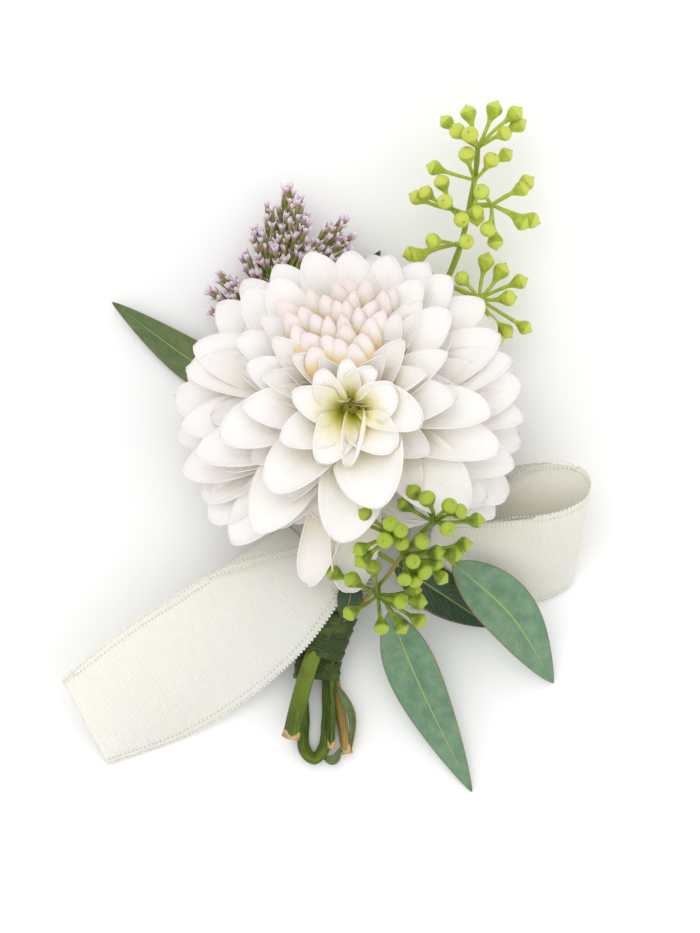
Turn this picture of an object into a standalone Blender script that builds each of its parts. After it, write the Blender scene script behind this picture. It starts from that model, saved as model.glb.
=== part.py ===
"""A dahlia boutonniere lying on its back, its stems toward -Y and its flower facing up.

Lengths are written in millimetres and turned into metres by at() and MM.
"""

import math

import bmesh
import bpy
from mathutils import Matrix, Vector

MM = 0.001
GAP = 0.3  # clear space between pieces that touch
GOLDEN_ANGLE = math.radians(137.508)  # the turn from one floret of a head to the next

# The dahlia: its florets stand on a ball-shaped receptacle, in whorls about a tilted axis.
HEAD_CENTRE = (4.7, 8.1, 18.4)
HEAD_TILT = math.radians(34)  # the whorls lean from +Z toward +Y
HEAD_LEAN = math.radians(9)  # and a little toward -X
HEAD_FLATNESS = 0.72  # a decorative dahlia is less deep than a ball
CORE_TILT = math.atan2(math.sin(HEAD_TILT), HEAD_FLATNESS * math.cos(HEAD_TILT))
PETAL_THICKNESS = 0.5
PETAL_WIDEST = 0.6  # where a petal is widest, as a share of its length
PETAL_FOOT = 0.26  # the width of its base over its greatest width
HEART_FLORETS = 26
CALYX_FOOT = -8.8  # where the stem meets the calyx, along the axis of the core
# Profiles of the closed centre and of the cup behind it: radius, height along the axis of the core
CLOSED_CENTRE = [(0, 20.5), (2.4, 19.4), (5.2, 16), (7.4, 12), (8.4, 8), (8.6, 4), (8.0, 0), (6.6, -3.6)]
CLOSED_CENTRE += [(0, -4.4)]
CUP = [(0, -4.4 - GAP), (6.8, -3.7 - GAP), (6.4, -5.6), (4.2, -7.6), (2.6, -8.6), (0, CALYX_FOOT)]
# count, polar angle, polar swing toward the lower side, base radius, length, width, first azimuth
OUTER_WHORL = (10, 112, 12, 10.6, 24.5, 11.8, 62)
MIDDLE_WHORL = (9, 90, 16, 11.4, 24.0, 12.0, 63)
INNER_WHORL = (7, 62, 10, 12.8, 17.0, 10.5, 90)

# Stems
DAHLIA_STEM_RADIUS = 1.85
LONG_STEM_RADIUS = 1.3
SHORT_STEM_RADIUS = 1.2
LAVENDER_STEM_RADIUS = 0.9

# The long stem runs behind the flower to its U bend and back up into the tape.
LONG_ROUTE = [(30.4, 60.3, 11.8), (29.7, 53.9, 11.4), (27.0, 41, 9.4), (22.6, 30, 5.6), (18.0, 18, 2.6)]
LONG_ROUTE += [(12.0, 0, 1.9), (7.4, -16, 1.9), (3.0, -30, 2.2), (-0.6, -41, 2.2), (-0.8, -48, 1.8)]
LONG_ROUTE += [(-0.5, -55, 1.3), (-0.7, -60.4, 1.3), (-3.0, -62.8, 1.3), (-5.2, -60.4, 1.3)]
LONG_ROUTE += [(-5.4, -54, 1.5), (-5.1, -47, 2.0), (-3.9, -41, 2.2), (-2.6, -37.6, 2.2)]
SHORT_ROUTE = [(18.8, -16.6, 30.6), (15.2, -20.8, 28.4), (12.4, -25.4, 23.6), (10.2, -28.8, 16.0)]
SHORT_ROUTE += [(8.6, -32.4, 7.8), (4.9, -38.0, 3.0), (2.2, -43.6, 2.2), (2.3, -50, 1.6), (4.2, -61.9, 1.2)]

# Ribbon
RIBBON_THICKNESS = 0.5
SLEEVE_WALL = 0.45  # tape or ribbon wound round the stems
SLEEVE_ROUNDNESS = 0.5  # 1 is an ellipse, less is squarer

LEAF_THICKNESS = 0.5
BUD_LENGTH = 4.4
BUD_RADIUS = 1.75
PEDICEL_RADIUS = 0.42

# Umbels of buds: hub, elevation of the middle bud, then (heading, reach) of each bud seen from above
UPPER_UMBELS = {
    "upper_umbel_1": ((30.5, 61.6, 12.6), 8, [(143, 7.9), (108, 7.0), (70, 8.2), (45, 9.4), (24, 8.8)]),
    "upper_umbel_2": ((31.2, 54.6, 13.6), 38, [(109, 5.6), (72, 4.7), (38, 7.6)]),
    "upper_umbel_3": ((24.9, 49.3, 12.4), 12, [(113, 8.2), (148, 6.6), (-60, 4.6), (180, 5.6)]),
    "upper_umbel_4": ((34.0, 49.0, 12.2), 10, [(33, 8.1), (10, 6.8), (-21, 8.4), (-78, 7.6)]),
    "upper_umbel_5": ((24.4, 40.6, 11.2), 16, [(150, 5.2), (-176, 7.0), (98, 4.6)]),
    "upper_umbel_6": (
        (31.4, 30.6, 9.0),
        10,
        [(83, 7.5), (53, 7.4), (23, 8.7), (-5, 6.2), (-36, 9.6), (-62, 8.2)],
    ),
}
LOWER_UMBELS = {
    "lower_umbel_1": ((20.6, -15.0, 32.4), 22, [(126, 6.4), (85, 5.4), (40, 6.2), (3, 8.0), (-32, 6.4)]),
    "lower_umbel_2": ((12.6, -17.6, 31.6), 14, [(141, 6.4), (168, 7.2), (95, 5.2), (-150, 6.6)]),
    "lower_umbel_3": ((16.8, -22.4, 25.6), 10, [(15, 8.8), (-10, 10.0), (-38, 8.4), (-66, 6.6)]),
    "lower_umbel_4": (
        (8.6, -28.2, 19.4),
        8,
        [(154, 8.6), (-176, 6.6), (-148, 6.4), (-104, 6.2), (-68, 7.2), (-36, 8.6)],
    ),
}

# Leaves: midrib from base to tip, greatest width, roll about the midrib in degrees
LEAVES = {
    "leaf_upper_left": ([(-14, 10.8, 2.8), (-27, 17.6, 1.0), (-43.5, 29.7, 2.6)], 8.4, -3),
    "leaf_lower_right": ([(25.3, -22.9, 14.6), (37, -33.5, 10.8), (46.0, -47.6, 0.6)], 11.4, -16),
    "leaf_lower_middle": ([(12.7, -32.7, 9.4), (18.6, -47.5, 5.6), (29.4, -69.7, 0.5)], 10.4, 12),
    "leaf_behind_right": ([(13.6, -23.0, 12.0), (23.5, -29.5, 7.0), (33.5, -36.2, 1.0)], 9.0, -6),
    "leaf_small": ([(5.2, -26.2, 11.8), (4.6, -30.5, 12.0), (3.2, -34.8, 11.6)], 5.0, 10),
    "leaf_left_under": ([(-6.5, 1.0, 8.4), (-16.0, -3.0, 8.6), (-25.6, -5.6, 9.2)], 9.0, 8),
    "leaf_right_under": ([(16.0, 0.0, 9.2), (27.0, 1.0, 9.6), (37.8, 2.6, 10.4)], 7.4, 0),
    "leaf_upper_right": ([(5.0, 25.0, 3.4), (5.8, 31.6, 2.4), (10.8, 40.2, 2.2)], 5.6, 0),
}


def at(x, y, z):
    """A point in metres, from millimetres."""
    return Vector((x, y, z)) * MM


def catmull(points, samples):
    """Points on a smooth curve through the given ones, ends included."""
    points = [Vector(p) for p in points]
    padded = [2 * points[0] - points[1]] + points + [2 * points[-1] - points[-2]]
    spans = len(points) - 1
    result = []
    for i in range(samples + 1):
        place = i / samples * spans
        k = min(int(place), spans - 1)
        t = place - k
        a, b, c, d = padded[k : k + 4]
        squared = (2 * a - 5 * b + 4 * c - d) * t**2
        cubed = (3 * b - a - 3 * c + d) * t**3
        result.append(0.5 * (2 * b + (c - a) * t + squared + cubed))
    return result


# ---------------------------------------------------------------- scene, materials


def clear_scene():
    for thing in list(bpy.data.objects):
        bpy.data.objects.remove(thing, do_unlink=True)


def collection(name):
    made = bpy.data.collections.new(name)
    bpy.context.scene.collection.children.link(made)
    return made


def material(name, colour, roughness):
    made = bpy.data.materials.new(name)
    made.use_nodes = True
    shader = made.node_tree.nodes["Principled BSDF"]
    shader.inputs["Base Color"].default_value = (*colour, 1)
    shader.inputs["Roughness"].default_value = roughness
    made.diffuse_color = (*colour, 1)
    return made


clear_scene()
PARTS = collection("boutonniere")
CUTTERS = collection("cutters")
PETAL = material("petal", (0.90, 0.86, 0.86), 0.55)
HEART = material("heart", (0.92, 0.78, 0.66), 0.6)
CALYX = material("calyx", (0.25, 0.38, 0.12), 0.6)
STEM = material("stem", (0.12, 0.26, 0.05), 0.5)
WOODY = material("woody_stem", (0.36, 0.24, 0.11), 0.8)
BUD = material("bud", (0.50, 0.62, 0.08), 0.45)
LEAF = material("leaf", (0.08, 0.20, 0.11), 0.5)
LAVENDER = material("sea_lavender", (0.60, 0.42, 0.60), 0.8)
TAPE = material("floral_tape", (0.07, 0.12, 0.06), 0.8)
SATIN = material("satin", (0.86, 0.84, 0.74), 0.35)


def add_mesh(name, bm, look, home=PARTS):
    """An object from a bmesh, shaded smooth except at sharp edges."""
    mesh = bpy.data.meshes.new(name)
    bm.normal_update()
    bm.to_mesh(mesh)
    bm.free()
    mesh.materials.append(look)
    mesh.shade_smooth()
    mesh.set_sharp_from_angle(angle=math.radians(50))
    made = bpy.data.objects.new(name, mesh)
    home.objects.link(made)
    return made


def thicken(piece, thickness):
    solid = piece.modifiers.new("Thickness", "SOLIDIFY")
    solid.thickness = thickness * MM
    solid.offset = 0


def add_club(bm, start, end, profile, sides):
    """A turned club from start to end; profile holds (share of the length, radius)."""
    axis = end - start
    turn = axis.to_track_quat("Z", "Y").to_matrix()
    rings = []
    for share, radius in profile:
        ring = []
        for k in range(sides):
            angle = 2 * math.pi * k / sides
            spot = Vector((radius * math.cos(angle), radius * math.sin(angle), share * axis.length))
            ring.append(bm.verts.new((start + turn @ spot) * MM))
        rings.append(ring)
    for lower, upper in zip(rings, rings[1:]):
        for k in range(sides):
            nxt = (k + 1) % sides
            bm.faces.new((lower[k], lower[nxt], upper[nxt], upper[k]))
    bm.faces.new(list(reversed(rings[0])))
    bm.faces.new(rings[-1])


# ---------------------------------------------------------------- petals


def leaning(tilt):
    """The turn that takes +Z to an axis leaning by tilt toward +Y."""
    return Matrix.Rotation(HEAD_LEAN, 4, "Z") @ Matrix.Rotation(-tilt, 4, "X")


def petal_half_width(along):
    """Half the width over the greatest width: narrow at the base, round at the tip."""
    if along < PETAL_WIDEST:
        ease = along / PETAL_WIDEST
        return 0.5 * (PETAL_FOOT + (1 - PETAL_FOOT) * ease * ease * (3 - 2 * ease))
    beyond = (along - PETAL_WIDEST) / (1 - PETAL_WIDEST)
    return 0.5 * math.sqrt(1 - 0.95 * beyond**2)


def floret_frame(polar, azimuth):
    """The frame of a petal on the head: X across it, Y along it, Z its inner face."""
    sine, cosine = math.sin(polar), math.cos(polar)
    along = Vector((sine * math.cos(azimuth), sine * math.sin(azimuth), cosine))
    inward = Vector((-cosine * math.cos(azimuth), -cosine * math.sin(azimuth), sine))
    across = along.cross(inward)
    return Matrix((across, along, inward)).transposed().to_4x4()


def add_petal(name, head, polar, azimuth, base, length, width):
    """A spoon-shaped petal: a thin sheet, hollowed along its middle, its tip bent back."""
    stand = leaning(HEAD_TILT) @ floret_frame(polar, azimuth)
    flatten = Matrix.Diagonal((1, 1, HEAD_FLATNESS))
    bm = bmesh.new()
    bmesh.ops.create_grid(bm, x_segments=3, y_segments=5, size=1.0)
    for vert in bm.verts:
        across, along = vert.co.x, (vert.co.y + 1) / 2
        half = width * petal_half_width(along)
        hollow = 0.16 * width * across**2 * math.sin(math.pi * min(along + 0.15, 1.0))
        bend = 0.06 * length * math.sin(math.pi * along) - 0.05 * length * along**3
        vert.co = flatten @ (stand @ at(across * half, base + length * along, hollow + bend))
    piece = add_mesh(name, bm, PETAL)
    thicken(piece, PETAL_THICKNESS)
    piece.parent = head


def add_whorl(prefix, head, whorl):
    count, polar, swing, base, length, width, first = whorl
    for k in range(count):
        azimuth = math.radians(first + 360 * k / count)
        angle = math.radians(polar - swing * math.sin(azimuth))
        add_petal(f"{prefix}_{k + 1:02d}", head, angle, azimuth, base, length, width)


def add_turned(name, profile, look, steps):
    """A solid of revolution about Z, from (radius, height) points listed top to bottom."""
    bm = bmesh.new()
    corners = [bm.verts.new(at(radius, 0, height)) for radius, height in profile]
    for upper, lower in zip(corners, corners[1:]):
        bm.edges.new((upper, lower))
    piece = add_mesh(name, bm, look)
    screw = piece.modifiers.new("Turn", "SCREW")
    screw.steps = steps
    screw.render_steps = steps
    screw.use_merge_vertices = True
    screw.merge_threshold = 0.00001
    return piece


def closed_florets():
    """The unopened florets that stand on the core, in the spiral of a daisy head."""
    bm = bmesh.new()
    for k in range(HEART_FLORETS):
        share = (k + 0.5) / HEART_FLORETS
        turn = GOLDEN_ANGLE * k
        out = Vector((math.cos(turn), math.sin(turn), 0))
        foot = out * (2.0 + 4.6 * share) + Vector((0, 0, 15.0 - 8.0 * share))
        tip = out * (1.4 + 8.6 * share) + Vector((0, 0, 22.0 - 5.0 * share))
        add_club(bm, foot, tip, [(0, 1.0), (0.45, 1.6), (0.8, 1.1), (1, 0.15)], 5)
    florets = add_mesh("dahlia_heart_florets", bm, HEART, CUTTERS)
    florets.hide_render = True
    florets.display_type = "WIRE"
    return florets


def make_dahlia():
    head = bpy.data.objects.new("dahlia_head", None)
    PARTS.objects.link(head)
    head.location = at(*HEAD_CENTRE)
    add_whorl("outer_petal", head, OUTER_WHORL)
    add_whorl("middle_petal", head, MIDDLE_WHORL)
    add_whorl("inner_petal", head, INNER_WHORL)
    heart = add_turned("dahlia_heart", CLOSED_CENTRE, HEART, 20)
    florets = closed_florets()
    florets.parent = head
    florets.matrix_local = leaning(CORE_TILT)
    union = heart.modifiers.new("Florets", "BOOLEAN")
    union.operation = "UNION"
    union.object = florets
    union.use_self = True
    calyx = add_turned("dahlia_calyx", CUP, CALYX, 16)
    for core in (heart, calyx):
        core.parent = head
        core.matrix_local = leaning(CORE_TILT)


# ---------------------------------------------------------------- stems


def add_stem(name, route, radius, look, samples):
    """A round stem along a smooth route, with flat cut ends."""
    curve = bpy.data.curves.new(name, "CURVE")
    curve.dimensions = "3D"
    curve.bevel_depth = radius * MM
    curve.bevel_resolution = 2
    curve.use_fill_caps = True
    points = catmull(route, samples)
    spline = curve.splines.new("POLY")
    spline.points.add(len(points) - 1)
    for knot, place in zip(spline.points, points):
        knot.co = (*at(*place), 1)
    spline.use_smooth = True
    curve.materials.append(look)
    stem = bpy.data.objects.new(name, curve)
    PARTS.objects.link(stem)


def make_stems():
    neck = Vector(HEAD_CENTRE) + leaning(CORE_TILT) @ Vector((0, 0, CALYX_FOOT - 2 * GAP))
    dahlia = [tuple(neck), (6.2, -2.4, 8.3), (6.0, -11, 7.6), (4.8, -22, 8.2), (1.4, -33, 6.5)]
    dahlia += [(-2.4, -41, 6.1), (-4.3, -46, 5.6), (-5.9, -53, 5.1), (-7.3, -58, 5.1)]
    add_stem("dahlia_stem", dahlia, DAHLIA_STEM_RADIUS, STEM, 18)
    add_stem("eucalyptus_stem_long", LONG_ROUTE, LONG_STEM_RADIUS, STEM, 68)
    add_stem("eucalyptus_stem_short", SHORT_ROUTE, SHORT_STEM_RADIUS, WOODY, 24)
    lavender = [(-9.6, 31.0, 4.6), (-6.8, 20, 3.4), (-1.5, 2, 3.0), (2.4, -14, 3.4), (4.6, -22, 4.7)]
    lavender += [(6.2, -29, 5.0), (4.6, -34, 5.2), (1.4, -41, 4.9), (0.8, -47, 4.2), (1.0, -53, 4.0)]
    lavender += [(0.9, -60.7, 3.8)]
    add_stem("sea_lavender_stem", lavender, LAVENDER_STEM_RADIUS, STEM, 34)


# ---------------------------------------------------------------- tape and knot


def add_sleeve(name, centre, half_width, half_height, length, slant, look):
    """A closed band round the stems: a rounded ring, extruded along them."""
    curve = bpy.data.curves.new(name, "CURVE")
    curve.dimensions = "2D"
    curve.fill_mode = "BOTH"
    curve.extrude = length / 2 * MM
    for across, high in ((half_width, half_height), (half_width - SLEEVE_WALL, half_height - SLEEVE_WALL)):
        spline = curve.splines.new("POLY")
        sides = 28
        spline.points.add(sides - 1)
        for k, knot in enumerate(spline.points):
            angle = 2 * math.pi * k / sides
            x = math.copysign(abs(math.cos(angle)) ** SLEEVE_ROUNDNESS, math.cos(angle))
            y = math.copysign(abs(math.sin(angle)) ** SLEEVE_ROUNDNESS, math.sin(angle))
            knot.co = (*at(across * x, high * y, 0), 1)
        spline.use_cyclic_u = True
    curve.materials.append(look)
    band = bpy.data.objects.new(name, curve)
    band.location = at(*centre)
    band.rotation_euler = (math.radians(90), 0, math.radians(slant))
    PARTS.objects.link(band)


def make_bindings():
    add_sleeve("floral_tape_upper", (0.4, -38.6, 4.6), 5.8, 4.5, 3.6, -24, TAPE)
    add_sleeve("floral_tape_lower", (-1.1, -43.6, 4.4), 5.7, 4.4, 3.6, -10, TAPE)
    add_sleeve("ribbon_wrap", (3.8, -27.6, 5.2), 5.2, 5.0, 5.0, -10, SATIN)


# ---------------------------------------------------------------- ribbon


def add_ribbon(name, first_edge, second_edge, samples, lanes):
    """A strip of ribbon between two edges, as a thin closed solid."""
    bm = bmesh.new()
    bmesh.ops.create_grid(bm, x_segments=lanes, y_segments=samples, size=1.0)
    first, second = catmull(first_edge, samples), catmull(second_edge, samples)
    for vert in bm.verts:
        row = round((vert.co.y + 1) / 2 * samples)
        share = (vert.co.x + 1) / 2
        vert.co = first[row].lerp(second[row], share) * MM
    thicken(add_mesh(name, bm, SATIN), RIBBON_THICKNESS)


def make_ribbon():
    lower = [(4.6, -27.6, 11.0), (-3.9, -40.3, 9.6), (-15.7, -50.3, 3.6), (-29, -58.6, 0.5)]
    lower += [(-44.6, -64.1, 0.5)]
    upper = [(-9.9, -12.6, 9.4), (-17.6, -21.0, 10.4), (-28.6, -28.2, 11.6), (-40, -36.0, 13.4)]
    upper += [(-52.9, -46.3, 14.8)]
    add_ribbon("ribbon_tail", lower, upper, 10, 3)
    over_top = [(22.0, -12.6, 11.0), (33.0, -14.4, 14.2), (44.5, -13.2, 17.6), (51.0, -10.6, 18.2)]
    over_top += [(52.8, -7.2, 17.0)]
    over_low = [(17.0, -32.4, 3.0), (28.4, -33.8, 0.9), (41.0, -31.6, 0.6), (47.8, -29.0, 0.5)]
    over_low += [(50.0, -26.4, 0.4)]
    add_ribbon("ribbon_loop_over", over_top, over_low, 9, 2)
    under_top = [(52.4, -6.2, 16.2), (49.0, -3.6, 15.2), (42.0, -2.8, 13.0), (30.0, -4.8, 7.4)]
    under_top += [(18, -7.0, 4.4)]
    under_low = [(49.8, -25.2, 0.4), (46.6, -23.2, 0.4), (39.6, -22.6, 0.3), (27.6, -22.4, 0.3)]
    under_low += [(16.0, -24.2, 0.4)]
    add_ribbon("ribbon_loop_under", under_top, under_low, 9, 2)


# ---------------------------------------------------------------- leaves


def leaf_half_width(along):
    """Half the width over the greatest width of a lance-shaped blade."""
    return 0.5 * math.sin(math.pi * along**0.8) ** 0.85 + 0.035


def add_leaf(name, midrib, width, roll):
    bm = bmesh.new()
    rows = 8
    bmesh.ops.create_grid(bm, x_segments=2, y_segments=rows, size=1.0)
    spine = catmull(midrib, rows)
    for vert in bm.verts:
        row = round((vert.co.y + 1) / 2 * rows)
        ahead = (spine[min(row + 1, rows)] - spine[max(row - 1, 0)]).normalized()
        side = Matrix.Rotation(math.radians(roll), 3, ahead) @ ahead.cross(Vector((0, 0, 1))).normalized()
        rise = side.cross(ahead)
        half = width * leaf_half_width(row / rows)
        vert.co = (spine[row] + side * half * vert.co.x + rise * 0.16 * half * abs(vert.co.x)) * MM
    thicken(add_mesh(name, bm, LEAF), LEAF_THICKNESS)


# ---------------------------------------------------------------- buds and sea lavender


def fused(name, clubs, hub, hub_radius, look, sides):
    """One closed body: a small round hub with every club joined to it by a Boolean union."""
    joined = bmesh.new()
    for start, end, profile in clubs:
        add_club(joined, start, end, profile, sides)
    arms = add_mesh(name + "_arms", joined, look, CUTTERS)
    arms.hide_render = True
    arms.display_type = "WIRE"
    ball = bmesh.new()
    bmesh.ops.create_icosphere(ball, subdivisions=1, radius=hub_radius * MM)
    body = add_mesh(name, ball, look)
    body.location = at(*hub)
    union = body.modifiers.new("Join", "BOOLEAN")
    union.operation = "UNION"
    union.object = arms
    union.use_self = True


def bud_profile(reach):
    """Pedicel, swelling cup and conical cap of a bud whose whole length is reach."""
    neck = max(0.2, 1 - BUD_LENGTH / reach)
    body = 1 - neck
    return [
        (0.0, PEDICEL_RADIUS),
        (neck * 0.8, PEDICEL_RADIUS),
        (neck + 0.25 * body, 0.86 * BUD_RADIUS),
        (neck + 0.52 * body, BUD_RADIUS),
        (neck + 0.76 * body, 0.62 * BUD_RADIUS),
        (1.0, 0.18),
    ]


def stalk_to(route, radius, hub):
    """A stalk from an umbel's hub to just short of the nearest point of its stem."""
    nearest = min(catmull(route, 120), key=lambda point: (point - hub).length)
    reach = nearest - hub
    end = nearest - reach.normalized() * (radius + GAP)
    return (hub, end, [(0, PEDICEL_RADIUS), (1, 1.2 * PEDICEL_RADIUS)])


def add_umbel(name, hub, lift, buds, route, radius):
    centre = Vector(hub)
    clubs = [stalk_to(route, radius, centre)]
    for k, (heading, reach) in enumerate(buds):
        turn = math.radians(heading)
        elevation = math.radians(lift + (14 if k % 2 else -10))
        flat = Vector((math.cos(turn), math.sin(turn), math.tan(elevation)))
        clubs.append((centre, centre + flat * reach, bud_profile(flat.length * reach)))
    fused(name, clubs, hub, 0.8, BUD, 6)


def make_umbels():
    for name, (hub, lift, buds) in UPPER_UMBELS.items():
        add_umbel(name, hub, lift, buds, LONG_ROUTE, LONG_STEM_RADIUS)
    for name, (hub, lift, buds) in LOWER_UMBELS.items():
        add_umbel(name, hub, lift, buds, SHORT_ROUTE, SHORT_STEM_RADIUS)


def add_spray(name, root, tip, florets, spread):
    """A tapering spray: a stalk with short side sprigs of florets that lean toward the tip."""
    root, tip = Vector(root), Vector(tip)
    axis = tip - root
    side = axis.cross(Vector((0, 0, 1))).normalized()
    clubs = [(root, tip, [(0, 0.7), (0.8, 0.6), (1, 1.5)])]
    for k in range(florets):
        share = 0.12 + 0.8 * k / florets
        turn = GOLDEN_ANGLE * k
        out = side * math.cos(turn) + side.cross(axis).normalized() * 0.6 * math.sin(turn)
        foot = root + axis * share
        end = foot + out * spread * (1.1 - 0.7 * share) + axis.normalized() * spread * 0.8
        clubs.append((foot, end, [(0, 0.5), (0.45, 0.7), (0.8, 1.9), (1, 1.0)]))
    fused(name, clubs, tuple(root), 1.0, LAVENDER, 6)


def make_sea_lavender():
    add_spray("sea_lavender_middle", (-9.8, 32.4, 5.6), (-8.2, 52.4, 8.2), 12, 6.0)
    add_spray("sea_lavender_left", (-13.6, 27.6, 5.4), (-21.0, 34.6, 6.2), 6, 4.2)
    add_spray("sea_lavender_right", (-1.4, 37.6, 8.2), (3.4, 45.2, 9.6), 7, 3.6)


make_dahlia()
make_stems()
make_bindings()
make_ribbon()
for leaf, (midrib, width, roll) in LEAVES.items():
    add_leaf(leaf, midrib, width, roll)
make_umbels()
make_sea_lavender()
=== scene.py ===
"""The looks of the dahlia boutonniere: petals, buds, leaves, sea lavender, stems, tape and satin ribbon.

Lengths are in millimetres in the tables and functions, and become metres in add_piece().
"""

import math
import random

import bpy
from mathutils import Matrix, Vector


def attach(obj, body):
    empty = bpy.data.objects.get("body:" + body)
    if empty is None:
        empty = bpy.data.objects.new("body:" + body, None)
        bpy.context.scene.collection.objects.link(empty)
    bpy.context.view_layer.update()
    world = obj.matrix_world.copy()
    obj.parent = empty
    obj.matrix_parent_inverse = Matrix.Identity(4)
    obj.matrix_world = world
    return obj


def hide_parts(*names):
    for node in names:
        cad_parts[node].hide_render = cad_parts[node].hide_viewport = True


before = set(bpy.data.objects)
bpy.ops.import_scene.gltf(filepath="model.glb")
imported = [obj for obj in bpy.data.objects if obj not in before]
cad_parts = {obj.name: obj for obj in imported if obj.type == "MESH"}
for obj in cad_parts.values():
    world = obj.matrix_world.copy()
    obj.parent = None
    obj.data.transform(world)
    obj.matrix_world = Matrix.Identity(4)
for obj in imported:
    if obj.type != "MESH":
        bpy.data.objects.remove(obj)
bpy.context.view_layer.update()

MM = 0.001
SEED = 20
GOLDEN_ANGLE = math.radians(137.508)
RIBBON_WIDTH = 25.4
PETAL_THICKNESS = 0.2
LEAF_THICKNESS = 0.32
BRACT_THICKNESS = 0.35
SATIN_THICKNESS = 0.22
FLORET_THICKNESS = 0.06
TABLE_GAP = 0.35  # the least height of the head's points over the table

# The dahlia's head, as in the CAD: its whorls lean toward +Y and a little toward -X, and it is flattened.
HEAD_CENTRE = Vector((4.7, 8.1, 18.4))
HEAD_TILT = math.radians(34)
HEAD_LEAN = math.radians(9)
HEAD_FLATNESS = 0.72
HEAD_TURN = Matrix.Rotation(HEAD_LEAN, 3, "Z") @ Matrix.Rotation(-HEAD_TILT, 3, "X")
HEAD_AXIS = HEAD_TURN @ Vector((0, 0, 1))


# ---- node materials


class Look:
    """A node material with short helpers for its procedural network."""

    def __init__(self, name, roughness):
        self.material = bpy.data.materials.new(name)
        self.material.use_nodes = True
        self.tree = self.material.node_tree
        self.shader = self.tree.nodes["Principled BSDF"]
        self.shader.inputs["Roughness"].default_value = roughness
        self.place = self.node("ShaderNodeTexCoord").outputs["Object"]

    def node(self, kind, **settings):
        made = self.tree.nodes.new(kind)
        for key, value in settings.items():
            setattr(made, key, value)
        return made

    def link(self, source, target):
        self.tree.links.new(source, target)

    def attribute(self, name):
        return self.node("ShaderNodeAttribute", attribute_name=name).outputs["Fac"]

    def combined(self, *parts):
        """A vector from up to three values or sockets."""
        join = self.node("ShaderNodeCombineXYZ")
        for socket, part in zip(join.inputs, parts):
            self.feed(part, socket)
        return join.outputs["Vector"]

    def feed(self, value, socket):
        if isinstance(value, bpy.types.NodeSocket):
            self.link(value, socket)
        else:
            socket.default_value = value

    def noise(self, scale, detail=4.0, vector=None, roughness=0.5):
        texture = self.node("ShaderNodeTexNoise")
        texture.inputs["Scale"].default_value = scale
        texture.inputs["Detail"].default_value = detail
        texture.inputs["Roughness"].default_value = roughness
        self.link(vector or self.place, texture.inputs["Vector"])
        return texture.outputs["Fac"]

    def math(self, operation, first, second=0.0):
        sums = self.node("ShaderNodeMath", operation=operation)
        self.feed(first, sums.inputs[0])
        self.feed(second, sums.inputs[1])
        return sums.outputs[0]

    def times(self, first, second):
        return self.math("MULTIPLY", first, second)

    def plus(self, first, second):
        return self.math("ADD", first, second)

    def tint(self, body, share, weight, colour):
        """body moved toward a colour by a weighted share."""
        return self.mix(self.times(share, weight), body, colour)

    def streaks(self, per_across, per_along, lift=0.0):
        """The across and along values, scaled, as a place for noise drawn out into streaks."""
        across = self.times(self.attribute("across"), per_across)
        return self.combined(across, self.times(self.attribute("along"), per_along), lift)

    def between(self, value, low, high, start=0.0, end=1.0):
        """value moved from low..high to start..end, smoothly and clamped."""
        ramp = self.node("ShaderNodeMapRange", interpolation_type="SMOOTHSTEP")
        self.feed(value, ramp.inputs["Value"])
        for key, number in zip(("From Min", "From Max", "To Min", "To Max"), (low, high, start, end)):
            ramp.inputs[key].default_value = number
        return ramp.outputs["Result"]

    def mix(self, share, first, second, blend="MIX"):
        """A colour mix; first and second are colours or sockets."""
        mixer = self.node("ShaderNodeMix", data_type="RGBA", blend_type=blend)
        self.feed(share, mixer.inputs["Factor"])
        for socket, colour in ((mixer.inputs[6], first), (mixer.inputs[7], second)):
            if isinstance(colour, bpy.types.NodeSocket):
                self.link(colour, socket)
            else:
                socket.default_value = (*colour, 1)
        return mixer.outputs[2]

    def colour(self, socket):
        self.link(socket, self.shader.inputs["Base Color"])

    def rough(self, socket):
        self.link(socket, self.shader.inputs["Roughness"])

    def bump(self, height, distance, strength=1.0):
        lump = self.node("ShaderNodeBump")
        lump.inputs["Distance"].default_value = distance
        lump.inputs["Strength"].default_value = strength
        self.link(height, lump.inputs["Height"])
        self.link(lump.outputs["Normal"], self.shader.inputs["Normal"])

    def subsurface(self, weight, radius, scale):
        self.shader.inputs["Subsurface Weight"].default_value = weight
        self.shader.inputs["Subsurface Radius"].default_value = radius
        self.shader.inputs["Subsurface Scale"].default_value = scale


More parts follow.
